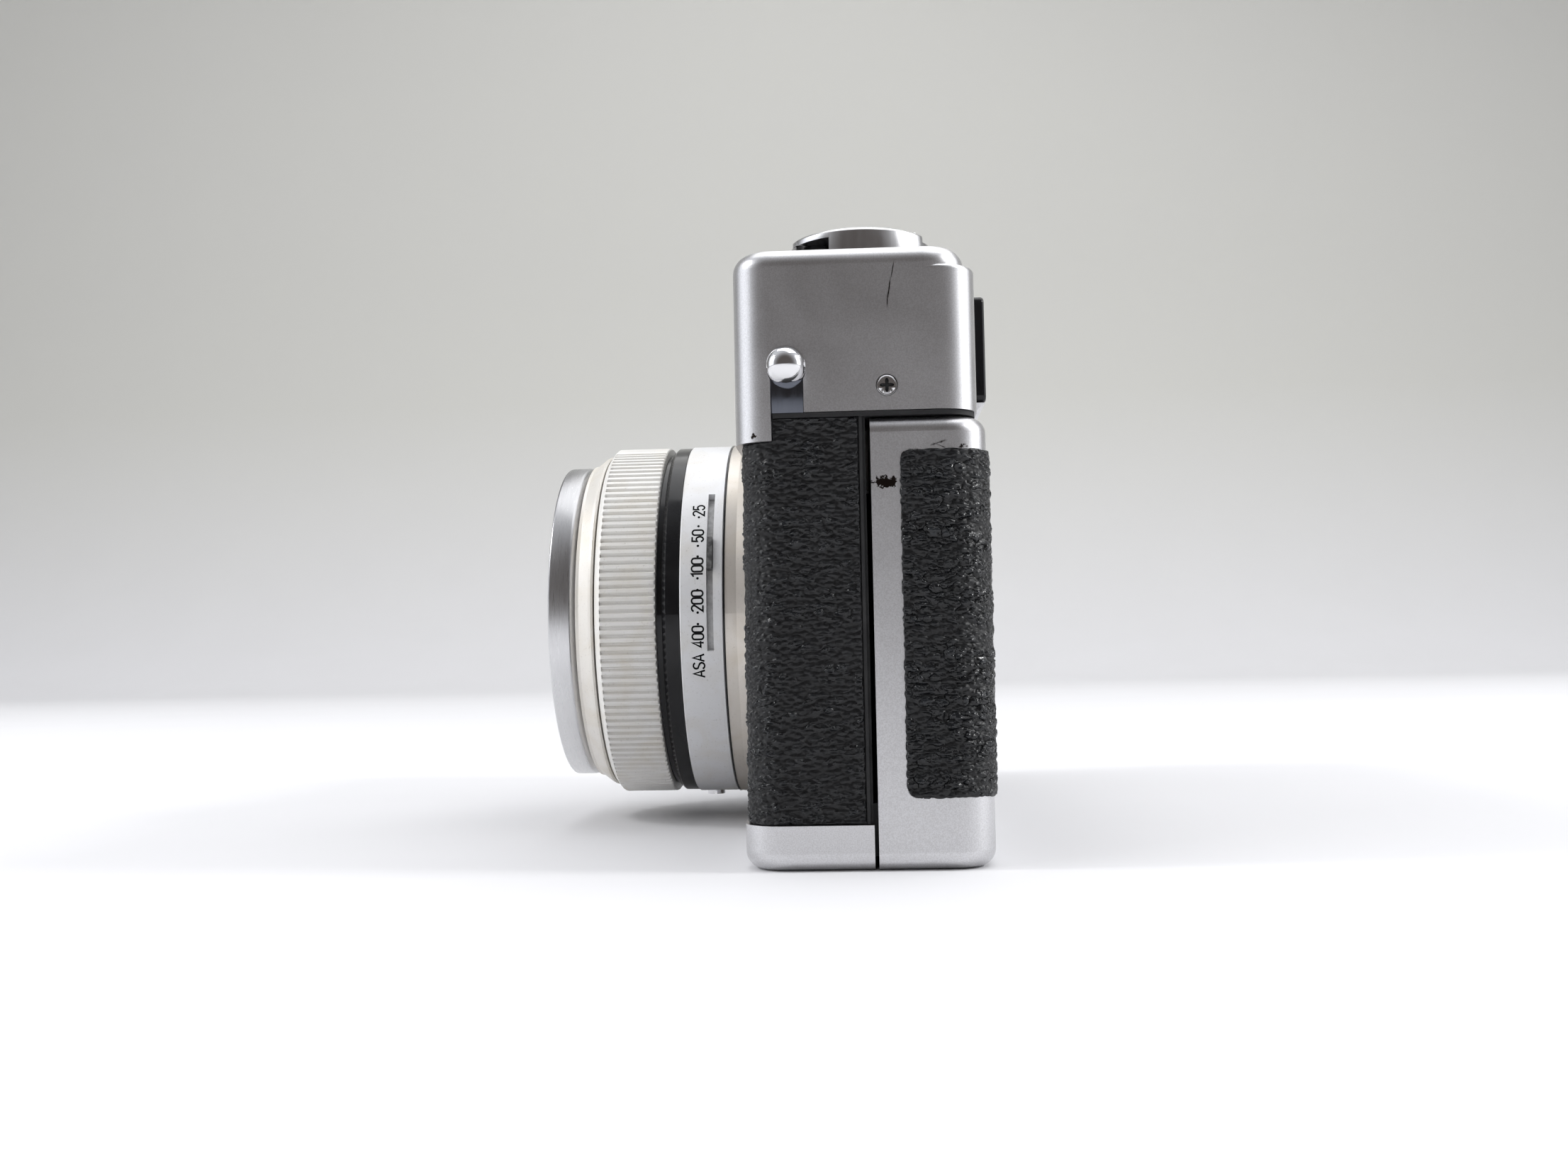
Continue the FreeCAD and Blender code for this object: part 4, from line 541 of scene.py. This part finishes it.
def body_covering():
    """Round the front and both sides, open for the cover's apron, the lens, the timer and the hinge."""
    low, high = box_mm("body_covering")
    apron = 52.4
    levels = np.concatenate([
        np.linspace(low.z, apron, round((apron - low.z) / ROW_STEP)),
        np.linspace(apron, high.z, round((high.z - apron) / ROW_STEP))[1:],
    ])
    hinge = box_mm("hinge_pin")[0].y - 1.1
    front_face, collar_radius = -3.35, 28.2
    timer, timer_radius = (-47.0, 27.0), 2.2

    def keep(middle):
        x, y, z = middle.T
        front = y < front_face
        under_apron = front & (z > apron)
        in_collar = front & (np.hypot(x, z - LENS_Z) < collar_radius)
        under_timer = front & (np.hypot(x - timer[0], z - timer[1]) < timer_radius)
        by_hinge = (x < 0) & (y > hinge)
        return ~(under_apron | in_collar | under_timer | by_hinge)

    body_corner = 4.9
    covering("body_leatherette", "body_covering", strip_outline(low, high, body_corner), levels, keep)


def door_covering():
    """Round the back and both sides: the outline of a U that opens forwards, mirrored in Y."""
    low, high = box_mm("door_covering")
    levels = np.linspace(low.z, high.z, round((high.z - low.z) / ROW_STEP))
    door_corner, other_grain, strip_corner = 5.12, 60.0, 1.2
    mirrored_low, mirrored_high = Vector((low.x, -high.y, low.z)), Vector((high.x, -low.y, high.z))
    points, normals, lengths = strip_outline(mirrored_low, mirrored_high, door_corner)
    outline = (points * (1, -1), normals * (1, -1), lengths)
    covering("door_leatherette", "door_covering", outline, levels, shift=other_grain, corner=strip_corner)


body_covering()
door_covering()


# ---- lens ----------------------------------------------------------------------------------------

def rounded(profile, radius=0.12, steps=3):
    """The closed profile with each corner cut round; a corner's third value is its own radius."""
    points = []
    count = len(profile)
    for k in range(count):
        here = np.array(profile[k][:2], float)
        r = profile[k][2] if len(profile[k]) > 2 else radius
        before = np.array(profile[k - 1][:2], float) - here
        after = np.array(profile[(k + 1) % count][:2], float) - here
        room = 0.45 * min(np.linalg.norm(before), np.linalg.norm(after))
        reach = min(r, room)
        if reach <= 0:
            points.append(here)
            continue
        a = here + before / np.linalg.norm(before) * reach
        b = here + after / np.linalg.norm(after) * reach
        for t in np.linspace(0, 1, steps + 1):
            points.append((1 - t) ** 2 * a + 2 * t * (1 - t) * here + t**2 * b)
    return points


def filter_ring():
    """The front ring, with its filter thread as plain grooves."""
    low, high = box_mm("filter_ring")
    outer, bore = (high.x - low.x) / 2, 23.6
    lead_in, pitch, turns, thread_depth = 0.55, 0.75, 4, 0.4
    thread = []
    for turn in range(turns):
        start = low.y + lead_in + turn * pitch
        thread += [(start, bore, 0), (start + pitch / 2, bore + thread_depth, 0)]
    profile = [(low.y, bore + 0.25), *thread, (high.y, bore, 0), (high.y, outer - 0.9),
               (high.y - 0.8, outer, 0.3), (low.y, outer, 0.35)]
    turned("filter_ring_turned", rounded(profile[::-1]), on_lens, "filter_ring", 320,
           replaces=["filter_ring"], material=brushed_ring())


def focus_ring():
    """The focusing ring: straight grooves on both sides, plain above and below."""
    low, high = box_mm("focus_ring")
    front, back = low.y, high.y
    outer, bore = (high.x - low.x) / 2, 24.78
    pitches, samples, depth = 144, 10, 0.42
    plain, fade = math.radians(18), math.radians(3)
    count = pitches * samples
    angles = np.linspace(0, 2 * math.pi, count, endpoint=False)
    phase = (np.arange(count) % samples) / samples
    groove = np.clip(1.5 - np.abs(phase - 0.5) * 5.0, 0, 1)     # flat at the bottom, with sloping sides
    from_pole = np.abs((angles % math.pi) - math.pi / 2)
    gripped = np.clip((from_pole - plain) / fade, 0, 1)
    cut = outer - depth * groove * gripped
    smooth = np.full(count, outer)
    bored = np.full(count, bore)
    # Each row is a place along the axis and the radius at each angle there.
    front_edge = [(front, bored), (front, smooth - 1.25), (front + 0.08, smooth - 1.1),
                  (front + 0.75, smooth - 0.16), (front + 0.9, smooth - 0.06)]
    grip = [(front + 1.0, cut), (front + 1.5, cut), (back - 0.9, cut), (back - 0.32, cut)]
    back_edge = [(back - before, np.minimum(cut, smooth - down))
                 for before, down in ((0.16, 0.05), (0.04, 0.2), (0, 0.45))]
    rows = [*front_edge, *grip, *back_edge, (back, bored)]
    profile = np.stack([np.stack([np.full(count, y), r], -1) for y, r in rows], 1)
    turned("focus_ring_knurled", profile, on_lens, "focus_ring", sharp=28, replaces=["focus_ring"])


def arc(centre, radii, start, end, steps=9):
    """Points on an ellipse between two angles in degrees."""
    turn = np.radians(np.linspace(start, end, steps))
    return [(centre[0] + radii[0] * math.cos(t), centre[1] + radii[1] * math.sin(t)) for t in turn]


# Plain condensed figures, each a list of pen strokes in a box one unit high, and its width.
OVAL = arc((0.22, 0.78), (0.22, 0.22), 0, 180) + arc((0.22, 0.22), (0.22, 0.22), 180, 360) + [(0.44, 0.78)]
GLYPHS = {
    "0": ([OVAL], 0.44),
    "1": ([[(0.02, 0.80), (0.22, 1.0), (0.22, 0.0)]], 0.26),
    "2": ([arc((0.22, 0.78), (0.22, 0.22), 170, -35) + [(0.0, 0.0), (0.45, 0.0)]], 0.44),
    "4": ([[(0.33, 0.0), (0.33, 1.0), (0.0, 0.27), (0.47, 0.27)]], 0.46),
    "5": ([[(0.41, 1.0), (0.05, 1.0), (0.03, 0.55)] + arc((0.21, 0.32), (0.22, 0.32), 125, -160)], 0.44),
    "A": ([[(0.0, 0.0), (0.25, 1.0), (0.50, 0.0)], [(0.09, 0.32), (0.41, 0.32)]], 0.50),
    "S": ([arc((0.23, 0.76), (0.22, 0.24), 20, 225) + arc((0.23, 0.25), (0.23, 0.25), 55, -165)], 0.45),
}


# The ink, in millimetres: where the figures' tops and feet and the dots lie along the lens axis, how
# large a dot is, and from where to where the ink lies over the ring's surface.
FIGURE_TOP, FIGURE_FOOT, DOT_ROW, DOT_RADIUS = -18.3, -16.6, -17.4, 0.19
INK_LIFTS = (-0.02, 0.012)
# In parts of a figure's height: the gap between figures, and half a stroke's width.
FIGURE_GAP, HALF_STROKE = 0.13, 0.070
# Each word or number with the middle of its place, in degrees round the lens, and its length in
# millimetres; then the dots' places.
SPEEDS = (("ASA", -15.7, 3.5), ("400", -6.8, 3.1), ("200", 3.95, 3.1), ("100", 14.2, 2.9),
          ("50", 24.6, 2.0), ("25", 33.9, 2.0))
DOTS = (31.3, 28.0, 21.2, 17.7, 10.8, 7.25, 0.44, -3.0)


def pen_stroke(path, half_width):
    """Left and right borders of a stroke along a path, with mitred bends."""
    path = np.asarray(path, float)
    runs = np.diff(path, axis=0)
    runs /= np.linalg.norm(runs, axis=1, keepdims=True)
    before, after = np.vstack([runs[:1], runs]), np.vstack([runs, runs[-1:]])
    along = before + after
    along /= np.linalg.norm(along, axis=1, keepdims=True)
    across = np.stack([-along[:, 1], along[:, 0]], -1)
    sharpest = 0.45
    stretch = half_width / np.maximum((along * after).sum(1, keepdims=True), sharpest)
    return path + across * stretch, path - across * stretch


def stroke_faces(first, count):
    """Faces of a stroke whose four edges are numbered one after the other from first."""
    low_left, low_right, top_left, top_right = (first + k * count for k in range(4))
    sides = ((top_left, top_right), (top_right, low_right), (low_right, low_left), (low_left, top_left))
    faces = [[a + k, b + k, b + k + 1, a + k + 1] for k in range(count - 1) for a, b in sides]
    faces += [[low_left + k, low_right + k, top_right + k, top_left + k] for k in (0, count - 1)]
    return faces


def scale_text(words, angle, length, radius):
    """Raised ink on the film speed ring, read upwards, centred on an angle in degrees."""
    total = sum(GLYPHS[letter][1] for letter in words) + FIGURE_GAP * (len(words) - 1)
    points, faces, start = [], [], 0.0
    for letter in words:
        strokes, width = GLYPHS[letter]
        for path in strokes:
            borders = pen_stroke(path, HALF_STROKE)
            faces += stroke_faces(len(points), len(path))
            for lift in INK_LIFTS:
                for across, up in np.vstack(borders):
                    turn = math.radians(angle) + ((start + across) / total - 0.5) * length / radius
                    along = FIGURE_FOOT + (FIGURE_TOP - FIGURE_FOOT) * up
                    points.append(on_lens(along, radius + lift, np.array(turn)))
        start += width + FIGURE_GAP
    made = piece(f"scale_{words.lower()}", points, faces, "asa_ring", SCALE_INK, slot="black_enamel")
    outward(made)


def scale_dot(number, angle, radius):
    """A round ink dot on the film speed ring."""
    steps = 20
    turn = np.linspace(0, 2 * math.pi, steps, endpoint=False)
    along = DOT_ROW + DOT_RADIUS * np.cos(turn)
    round_lens = math.radians(angle) + DOT_RADIUS * np.sin(turn) / radius
    rims = [on_lens(along, radius + lift, round_lens) for lift in INK_LIFTS]
    faces = [list(range(steps))[::-1], list(range(steps, 2 * steps))]
    faces += [[k, (k + 1) % steps, steps + (k + 1) % steps, steps + k] for k in range(steps)]
    made = piece(f"dot_{number}", np.vstack(rims), faces, "asa_ring", SCALE_INK, slot="black_enamel")
    outward(made)


def film_speed_scale():
    low, high = box_mm("asa_ring")
    radius = (high.x - low.x) / 2
    for words, angle, length in SPEEDS:
        scale_text(words, angle, length, radius)
    for number, angle in enumerate(DOTS):
        scale_dot(number, angle, radius)


def seam_line():
    """Black line where the film speed ring meets the lens base."""
    low, high = box_mm("asa_ring")
    inner, outer = 27.0, (high.x - low.x) / 2 + 0.14
    front, back = high.y + 0.02, high.y + 0.28
    profile = [(front, inner), (front, outer), (back, outer), (back, inner)]
    turned("seam_line", rounded(profile, 0.06), on_lens, "lens_collar", 256,
           material=MATERIALS["black_enamel"], slot="black_enamel")


filter_ring()
focus_ring()
film_speed_scale()
seam_line()


# ---- covers' fittings ----------------------------------------------------------------------------

def lathe(name, profile, placed, like, segments=96, **more):
    """A solid turned from an open profile whose two ends lie on the axis."""
    rings = np.asarray(profile[1:-1], float)
    angles = np.linspace(0, 2 * math.pi, segments, endpoint=False)[:, None]
    along, radii = (np.repeat(rings[None, :, k], segments, 0) for k in (0, 1))
    return spun(name, along, radii, angles, (profile[0][0], profile[-1][0]), placed, like, **more)


def spun(name, along, radii, angles, ends, placed, like, **more):
    """A solid from rows of points round an axis, one row for each angle, and its two ends on the axis."""
    count, length = radii.shape
    points = placed(along, radii, angles + 0 * radii).reshape(-1, 3)
    poles = [placed(np.array([end]), np.zeros(1), np.zeros(1)) for end in ends]
    faces = [list(f) for f in grid_faces(count, length, closed_rows=True)]
    first, last = count * length, count * length + 1
    for k in range(count):
        here, after = k * length, ((k + 1) % count) * length
        faces.append([first, here, after])
        faces.append([last, after + length - 1, here + length - 1])
    made = piece(name, np.vstack([points, *poles]), faces, like, **more)
    outward(made)
    return made


BOX_FACES = [(0, 1, 3, 2), (4, 6, 7, 5), (0, 4, 5, 1), (2, 3, 7, 6), (0, 2, 6, 4), (1, 5, 7, 3)]


def box_corners(low, high):
    x, y, z = zip(low, high)
    return [(a, b, c) for a in x for b in y for c in z]


def block(name, low, high, bevel, like):
    """A block with round edges."""
    made = piece(name, box_corners(low, high), BOX_FACES, like)
    outward(made)
    round_edges(made, bevel)


def round_edges(obj, width, segments=3, angle=40):
    """Bevels every edge whose faces meet at more than the angle, in degrees."""
    edges = obj.modifiers.new("edges", "BEVEL")
    edges.width = width * MM
    edges.segments = segments
    edges.limit_method = "ANGLE"
    edges.angle_limit = math.radians(angle)
    freeze(obj)


def freeze(obj):
    """Puts the modifiers' result into the object's own mesh."""
    done = bpy.data.meshes.new_from_object(obj.evaluated_get(bpy.context.evaluated_depsgraph_get()))
    obj.modifiers.clear()
    obj.data = done


def carve(obj, cutters, sharp=30):
    """Cuts the cutters out of the object and drops them."""
    for number, cutter in enumerate(cutters):
        cut = obj.modifiers.new(f"cut_{number}", "BOOLEAN")
        cut.operation = "DIFFERENCE"
        cut.solver = "EXACT"
        cut.object = cutter
    freeze(obj)
    obj.data.shade_smooth()
    obj.data.set_sharp_from_angle(angle=math.radians(sharp))
    for cutter in cutters:
        bpy.data.objects.remove(cutter)


def loose_block(low, high):
    """A cutter: a plain block that never shows."""
    mesh = bpy.data.meshes.new("cutter")
    points = [tuple(c * MM for c in corner) for corner in box_corners(low, high)]
    mesh.from_pydata(points, [], BOX_FACES)
    made = linked("cutter", mesh)
    outward(made)
    return made


def loose_rod(start, end, radius):
    """A cutter: a round rod between two points."""
    start, end = Vector(start), Vector(end)
    edit = bmesh.new()
    bmesh.ops.create_cone(edit, cap_ends=True, segments=48, radius1=radius * MM, radius2=radius * MM,
                          depth=(end - start).length * MM)
    turn = (end - start).to_track_quat("Z", "Y").to_matrix().to_4x4()
    bmesh.ops.transform(edit, matrix=Matrix.Translation((start + end) / 2 * MM) @ turn, verts=edit.verts)
    mesh = bpy.data.meshes.new("cutter")
    edit.to_mesh(mesh)
    edit.free()
    return linked("cutter", mesh)


# The rewind knob and its crank, in millimetres. The folded crank completes the knob's dome.
KNOB = Vector((54.5, 7.9))
KNOB_RADIUS, KNOB_FOOT = 9.35, 76.85
DOME_EDGE, DOME_RISE = 79.95, 1.70
CHANNEL_HALF_WIDTH, CHANNEL_FLOOR, HEEL_FLOOR = 4.68, 79.38, 79.3
CRANK_HALF_WIDTH, CRANK_UNDERSIDE = 4.55, 79.5
CRANK_PIN = (6.6, 80.2)                 # behind the knob's axis, and up
OUTSIDE, ABOVE, BELOW = 12, 84, 76      # cutters reach so far from the axis, up and down


def by_knob(x, y, z):
    """A point given from the knob's axis."""
    return KNOB.x + x, KNOB.y + y, z


def dome_height(radius):
    """Upper face of the rewind knob and its folded crank, over the distance from their axis."""
    return DOME_EDGE + DOME_RISE * (1 - (radius / KNOB_RADIUS) ** 2) ** 0.62


def dome_profile():
    """The dome from its edge to its top."""
    slope = [(dome_height(r), r) for r in KNOB_RADIUS * np.sin(np.linspace(math.pi / 2, 0, 22))]
    return [*slope, (dome_height(0), 0)]


def rewind_knob():
    """A plain disc with a finger notch in its rim and a channel for the crank."""
    rim = [(KNOB_FOOT, 0), (KNOB_FOOT, KNOB_RADIUS - 0.15), (KNOB_FOOT + 0.15, KNOB_RADIUS)]
    made = lathe("rewind_knob_disc", [*rim, *dome_profile()], upright_at(KNOB), "rewind_knob", 256,
                 replaces=["rewind_knob"], material=KNOB_CHROME)
    half, channel_end, heel_start = CHANNEL_HALF_WIDTH, 7.6, 7.5
    notch_side, notch_start, notch_end = -4.0, -8.25, -3.95
    grip, grip_radius = -5.6, 2.6
    shaft_top, shaft_radius = 78.78, 2.02
    channel = loose_block(by_knob(-half, -OUTSIDE, CHANNEL_FLOOR), by_knob(half, channel_end, ABOVE))
    heel = loose_block(by_knob(-half, heel_start, HEEL_FLOOR), by_knob(half, OUTSIDE, ABOVE))
    notch = loose_block(by_knob(notch_side, notch_start, BELOW), by_knob(OUTSIDE, notch_end, CHANNEL_FLOOR))
    grip_room = loose_rod(by_knob(0, grip, BELOW), by_knob(0, grip, ABOVE), grip_radius)
    shaft_hole = loose_rod(by_knob(0, 0, BELOW), by_knob(0, 0, shaft_top), shaft_radius)
    carve(made, [channel, heel, notch, grip_room, shaft_hole])
    ear_half, (ear_start, ear_foot), (ear_end, ear_top) = 0.55, (5.8, 79.3), (7.4, 80.75)
    for number, x in enumerate((3.9, -3.9)):
        block(f"rewind_ear_{number}", by_knob(x - ear_half, ear_start, ear_foot),
              by_knob(x + ear_half, ear_end, ear_top), 0.3, "rewind_knob")


def rewind_crank():
    """The folded crank: a bar cut from the same dome, with a barrel and a tongue at its pin."""
    underside = [(CRANK_UNDERSIDE, 0), (CRANK_UNDERSIDE, KNOB_RADIUS - 0.05)]
    made = lathe("rewind_crank_arm", [*underside, *dome_profile()], upright_at(KNOB), "rewind_crank", 192,
                 replaces=["rewind_crank"], material=KNOB_CHROME)
    under, tail, tip = 78, 5.7, -8.75
    sides = [loose_block(by_knob(side * CRANK_HALF_WIDTH, -OUTSIDE, under),
                         by_knob(side * OUTSIDE, OUTSIDE, ABOVE)) for side in (1, -1)]
    rear = loose_block(by_knob(-OUTSIDE, tail, under), by_knob(OUTSIDE, OUTSIDE, ABOVE))
    front = loose_block(by_knob(-OUTSIDE, -OUTSIDE, under), by_knob(OUTSIDE, tip, ABOVE))
    carve(made, [*sides, rear, front])
    round_edges(made, 0.12, segments=2, angle=50)
    made.data.set_sharp_from_angle(angle=math.radians(40))
    length, radius, chamfer = 6.0, 0.72, 0.12
    barrel = [(0, 0), (0, radius - chamfer), (chamfer, radius), (length - chamfer, radius),
              (length, radius - chamfer), (length, 0)]

    def on_pin(along, radius, angle):
        y, z = KNOB.y + CRANK_PIN[0] + radius * np.cos(angle), CRANK_PIN[1] + radius * np.sin(angle)
        return np.stack([KNOB.x - length / 2 + along + 0 * angle, y, z], -1)

    lathe("rewind_crank_barrel", barrel, on_pin, "rewind_crank", 40)
    block("rewind_crank_tongue", by_knob(-2.9, 5.4, 79.62), by_knob(2.9, 6.5, 80.5), 0.15, "rewind_crank")


def strap_lugs():
    """Ball-ended posts with an eye through each, over a chrome plate in the cover's notch."""
    tip = box_mm("strap_lugs")[1].x
    y, z, radius = -1.45, 61.42, 2.38
    root, neck = 67.9, 69.5
    eye_x, eye_z, eye_radius, reach = 71.9, 61.2, 0.92, 4
    ball = [(tip - radius * (1 - math.cos(a)), radius * math.sin(a))
            for a in np.linspace(math.pi / 2, 0, 18)]
    profile = [(root, 0), (root, radius - 0.1), (neck, radius - 0.02), *ball]
    for number, side in enumerate((1, -1)):
        post = lathe(f"strap_lug_{number}", profile, along_x(side, (y, z)), "strap_lugs", 96,
                     replaces=["strap_lugs"] if number == 0 else (), sharp=50)
        eye = loose_rod((side * eye_x, y - reach, eye_z), (side * eye_x, y + reach, eye_z), eye_radius)
        carve(post, [eye], sharp=40)
        lug_plate(number, side, y)


def lug_plate(number, side, y):
    """Bright plate under a lug: flat above, curling inwards at its foot."""
    half, rows, columns = 1.95, 18, 14
    foot, top = 56.0, 61.0
    back_face, front_face, belly_rise, side_fall = 68.7, 69.35, 0.35, 0.10
    up = np.linspace(foot, top, rows)[:, None]
    across = np.linspace(-half, half, columns)[None, :]
    belly = belly_rise * np.sin((up - foot) / (top - foot) * math.pi / 2)
    front = front_face + belly - side_fall * (across / half) ** 2
    back = front * 0 + back_face
    count = rows * columns
    numbers = np.arange(count).reshape(rows, columns)
    faces = [list(f) for f in grid_faces(rows, columns)]
    faces += [[i + count for i in f][::-1] for f in faces]
    rim = [*numbers[0], *numbers[1:, -1], *numbers[-1, -2::-1], *numbers[-2:0:-1, 0]]
    faces += [[a, b, b + count, a + count] for a, b in zip(rim, rim[1:] + rim[:1])]
    sheets = [np.stack([side * depth, y + across + 0 * up, up + 0 * across], -1) for depth in (front, back)]
    points = np.stack(sheets).reshape(-1, 3)
    made = piece(f"lug_plate_{number}", points, faces, "strap_lugs", material=LUG_PLATE, sharp=50)
    outward(made)


def cross_screw(name, placed, face, radius, recess, **more):
    """A domed head with a cross recess; along runs outwards and face is where the head's rim lies."""
    columns, recess_rows = 96, 5
    turn = np.linspace(0, 2 * math.pi, columns, endpoint=False)[:, None]
    # Each row of points starts in the cross, whose border is at share 1, and ends on the head's flat.
    cross = radius * (0.22 + 0.42 * np.abs(np.cos(2 * turn)) ** 2.2)
    inside, border, outside = np.linspace(0.1, 0.92, recess_rows), [1.0, 1.06], np.linspace(1.12, 1.9, 5)
    shares = np.concatenate([inside, border, outside])[None, :]
    radii = np.minimum(cross * shares, radius * 0.80)
    depth = recess * np.clip((1.06 - shares) / 0.14, 0, 1)
    dome = 0.07 * radius
    crown = dome * (1 - (radii / radius) ** 2)
    # The head's rim: a small raised bead, then the side.
    rim = np.array([[0.82, 0.0], [0.86, 0.05], [0.93, 0.06], [0.985, 0.0], [1.0, -0.5]])
    along = np.hstack([face + crown - depth, np.repeat(face + rim[None, :, 1] * radius, columns, 0)])
    radii = np.hstack([radii, np.repeat(rim[None, :, 0] * radius, columns, 0)])
    ends = (face + dome - recess, face - 0.5 * radius)
    made = spun(name, along, radii, turn, ends, placed, "cover_screws", sharp=40, **more)
    # Painted shade: the faces of the cross recess take the black casting paint, so the recess reads dark as
    # its shadow would.
    made.data.materials.append(MATERIALS["black_casting"])
    rows = radii.shape[1]
    for polygon in made.data.polygons:
        corners = np.array(polygon.vertices)
        corners = corners[corners < columns * rows] % rows
        if len(corners) and corners.max() <= recess_rows:
            polygon.material_index = 1


def screws():
    """Two in the cover's sides, two in the base and four in the accessory shoe."""
    high = box_mm("cover_screws")[1]
    side_place, base_places, shoe_spacing = (10.8, 59.0), ((61, 0.3), (-61, 0.3)), 5.5
    for number, side in enumerate((1, -1)):
        cross_screw(f"side_screw_{number}", along_x(side, side_place), high.x + 0.02, radius=1.31,
                    recess=0.45, replaces=["cover_screws"] if number == 0 else ())
    for number, centre in enumerate(base_places):
        cross_screw(f"base_screw_{number}", upright_at(centre, -1), -0.16, radius=1.5, recess=0.5)
    shoe_low, shoe_high = box_mm("accessory_shoe")
    middle = (shoe_low + shoe_high) / 2
    offsets = (-shoe_spacing, shoe_spacing)
    shoe_places = [(middle.x + x, middle.y + y) for y in offsets for x in offsets]
    for number, centre in enumerate(shoe_places):
        cross_screw(f"shoe_screw_{number}", upright_at(centre), high.z - 0.06, radius=0.9, recess=0.35)


rewind_knob()
rewind_crank()
strap_lugs()
screws()


# ---- studio --------------------------------------------------------------------------------------

def stage_finish(name, floor_tone, shaded_wall_tone):
    """Plain paper: a pale floor that turns to a grey wall with height; the wall's grey is painted shade."""
    made = Finish(name, Roughness=0.9, Specular_IOR_Level=0.1)
    # Painted shade: the paper darkens between 2 cm and 30 cm up.
    rise = made.spread(made.height(), 0, 1, 0.02, 0.30)
    faint = made.noise(60, 3)
    colour = made.mix(rise, floor_tone, shaded_wall_tone)
    made.colour(made.mix(made.spread(faint, 0, 0.06), colour, (0.6, 0.6, 0.6)))
    return made.material


def stage():
    """Floor, a swept bend and a wall behind the object."""
    half_width, near, bend_start, bend, top = 3.0, 3.0, -0.95, 0.45, 2.4
    clearance = 0.05 * MM
    line = [(near, 0.0), (0.5, 0.0), (bend_start, 0.0)]
    line += [(bend_start - bend * math.sin(a), bend - bend * math.cos(a))
             for a in np.linspace(0.1, math.pi / 2, 16)]
    line.append((bend_start - bend, top))
    points = [(x, side, z - clearance) for x, z in line for side in (-half_width, half_width)]
    mesh = bpy.data.meshes.new("paper")
    mesh.from_pydata(points, [], [list(map(int, f)) for f in grid_faces(len(line), 2)])
    # The second tone, the wall's, is darker as painted shade.
    mesh.materials.append(stage_finish("paper", (0.72, 0.72, 0.737), (0.62, 0.62, 0.59)))
    mesh.shade_smooth()
    linked("paper", mesh)


def area_light(name, place, aim, size, watts, tint=(1, 1, 1), mirrored=True):
    """A rectangular lamp that faces its aim; mirrored says whether glossy surfaces show it."""
    light = bpy.data.lights.new(name, "AREA")
    light.shape = "RECTANGLE"
    light.size, light.size_y = size
    light.energy = watts
    light.color = tint
    lamp = linked(name, light)
    lamp.location = place
    lamp.rotation_euler = (Vector(aim) - Vector(place)).to_track_quat("-Z", "Y").to_euler()
    lamp.visible_glossy = mirrored


def lights():
    """A broad lamp overhead, softer ones round the object, and two small ones for sparks in the grain."""
    area_light("overhead", (-0.35, 0.2, 1.25), (0, 0, 0), (1.5, 1.4), 10)
    area_light("left_spark", (0.15, -1.0, 0.85), (0, 0, 0.03), (0.16, 0.16), 3.5)
    area_light("right_spark", (0.15, 1.0, 0.75), (0, 0, 0.03), (0.2, 0.2), 5)
    area_light("table", (0.95, -0.2, 1.0), (0.7, 0, 0), (1.2, 1.8), 4.5, mirrored=False)
    area_light("fill", (0.45, -1.25, 0.75), (-0.1, -0.1, 0), (1.2, 1.2), 7.2, mirrored=False)
    area_light("left", (0.1, -1.3, 0.5), (0, 0, 0.04), (0.9, 0.9), 2.0, (0.93, 0.95, 1))
    area_light("right", (0.0, 1.3, 0.5), (0, 0, 0.04), (0.9, 0.9), 4)


def room():
    """Soft surroundings: bright all round, dim and warm on the camera's side (+X)."""
    world = bpy.data.worlds.new("room")
    scene.world = world
    world.use_nodes = True
    tree = world.node_tree
    back = tree.nodes["Background"]
    place = tree.nodes.new("ShaderNodeTexCoord")
    parts = tree.nodes.new("ShaderNodeSeparateXYZ")
    tree.links.new(place.outputs["Generated"], parts.inputs[0])
    toward = tree.nodes.new("ShaderNodeMapRange")
    toward.interpolation_type = "SMOOTHSTEP"
    toward.inputs["From Min"].default_value = 0.05
    toward.inputs["From Max"].default_value = 0.8
    tree.links.new(parts.outputs["X"], toward.inputs["Value"])
    tones = tree.nodes.new("ShaderNodeMix")
    tones.data_type = "RGBA"
    tones.inputs[6].default_value = (0.86, 0.88, 0.92, 1)
    tones.inputs[7].default_value = (0.142, 0.128, 0.122, 1)
    tree.links.new(toward.outputs["Result"], tones.inputs[0])
    tree.links.new(tones.outputs[2], back.inputs["Color"])
    back.inputs["Strength"].default_value = 0.80


def camera():
    """The photograph's view: from the rewind side, close to the table, almost level."""
    place = Vector((256.50, 7.44, 26.64)) * MM
    yaw, pitch, roll = (math.radians(a) for a in (2.98, 2.40, -1.152))
    forward = Vector((-math.cos(yaw) * math.cos(pitch), -math.sin(yaw) * math.cos(pitch), math.sin(pitch)))
    level = forward.cross(Vector((0, 0, 1))).normalized()
    rise = level.cross(forward)
    right = level * math.cos(roll) + rise * math.sin(roll)
    up = rise * math.cos(roll) - level * math.sin(roll)
    lens = bpy.data.cameras.new("camera")
    lens.sensor_width = 36.0
    lens.lens = 35.23
    lens.clip_start = 0.01
    lens.clip_end = 20
    eye = linked("camera", lens)
    turn = Matrix((right, up, -forward)).transposed().to_4x4()
    eye.matrix_world = Matrix.Translation(place) @ turn
    scene.camera = eye


stage()
room()
lights()
camera()
scene.view_settings.view_transform = "Standard"
scene.view_settings.exposure = 0.0
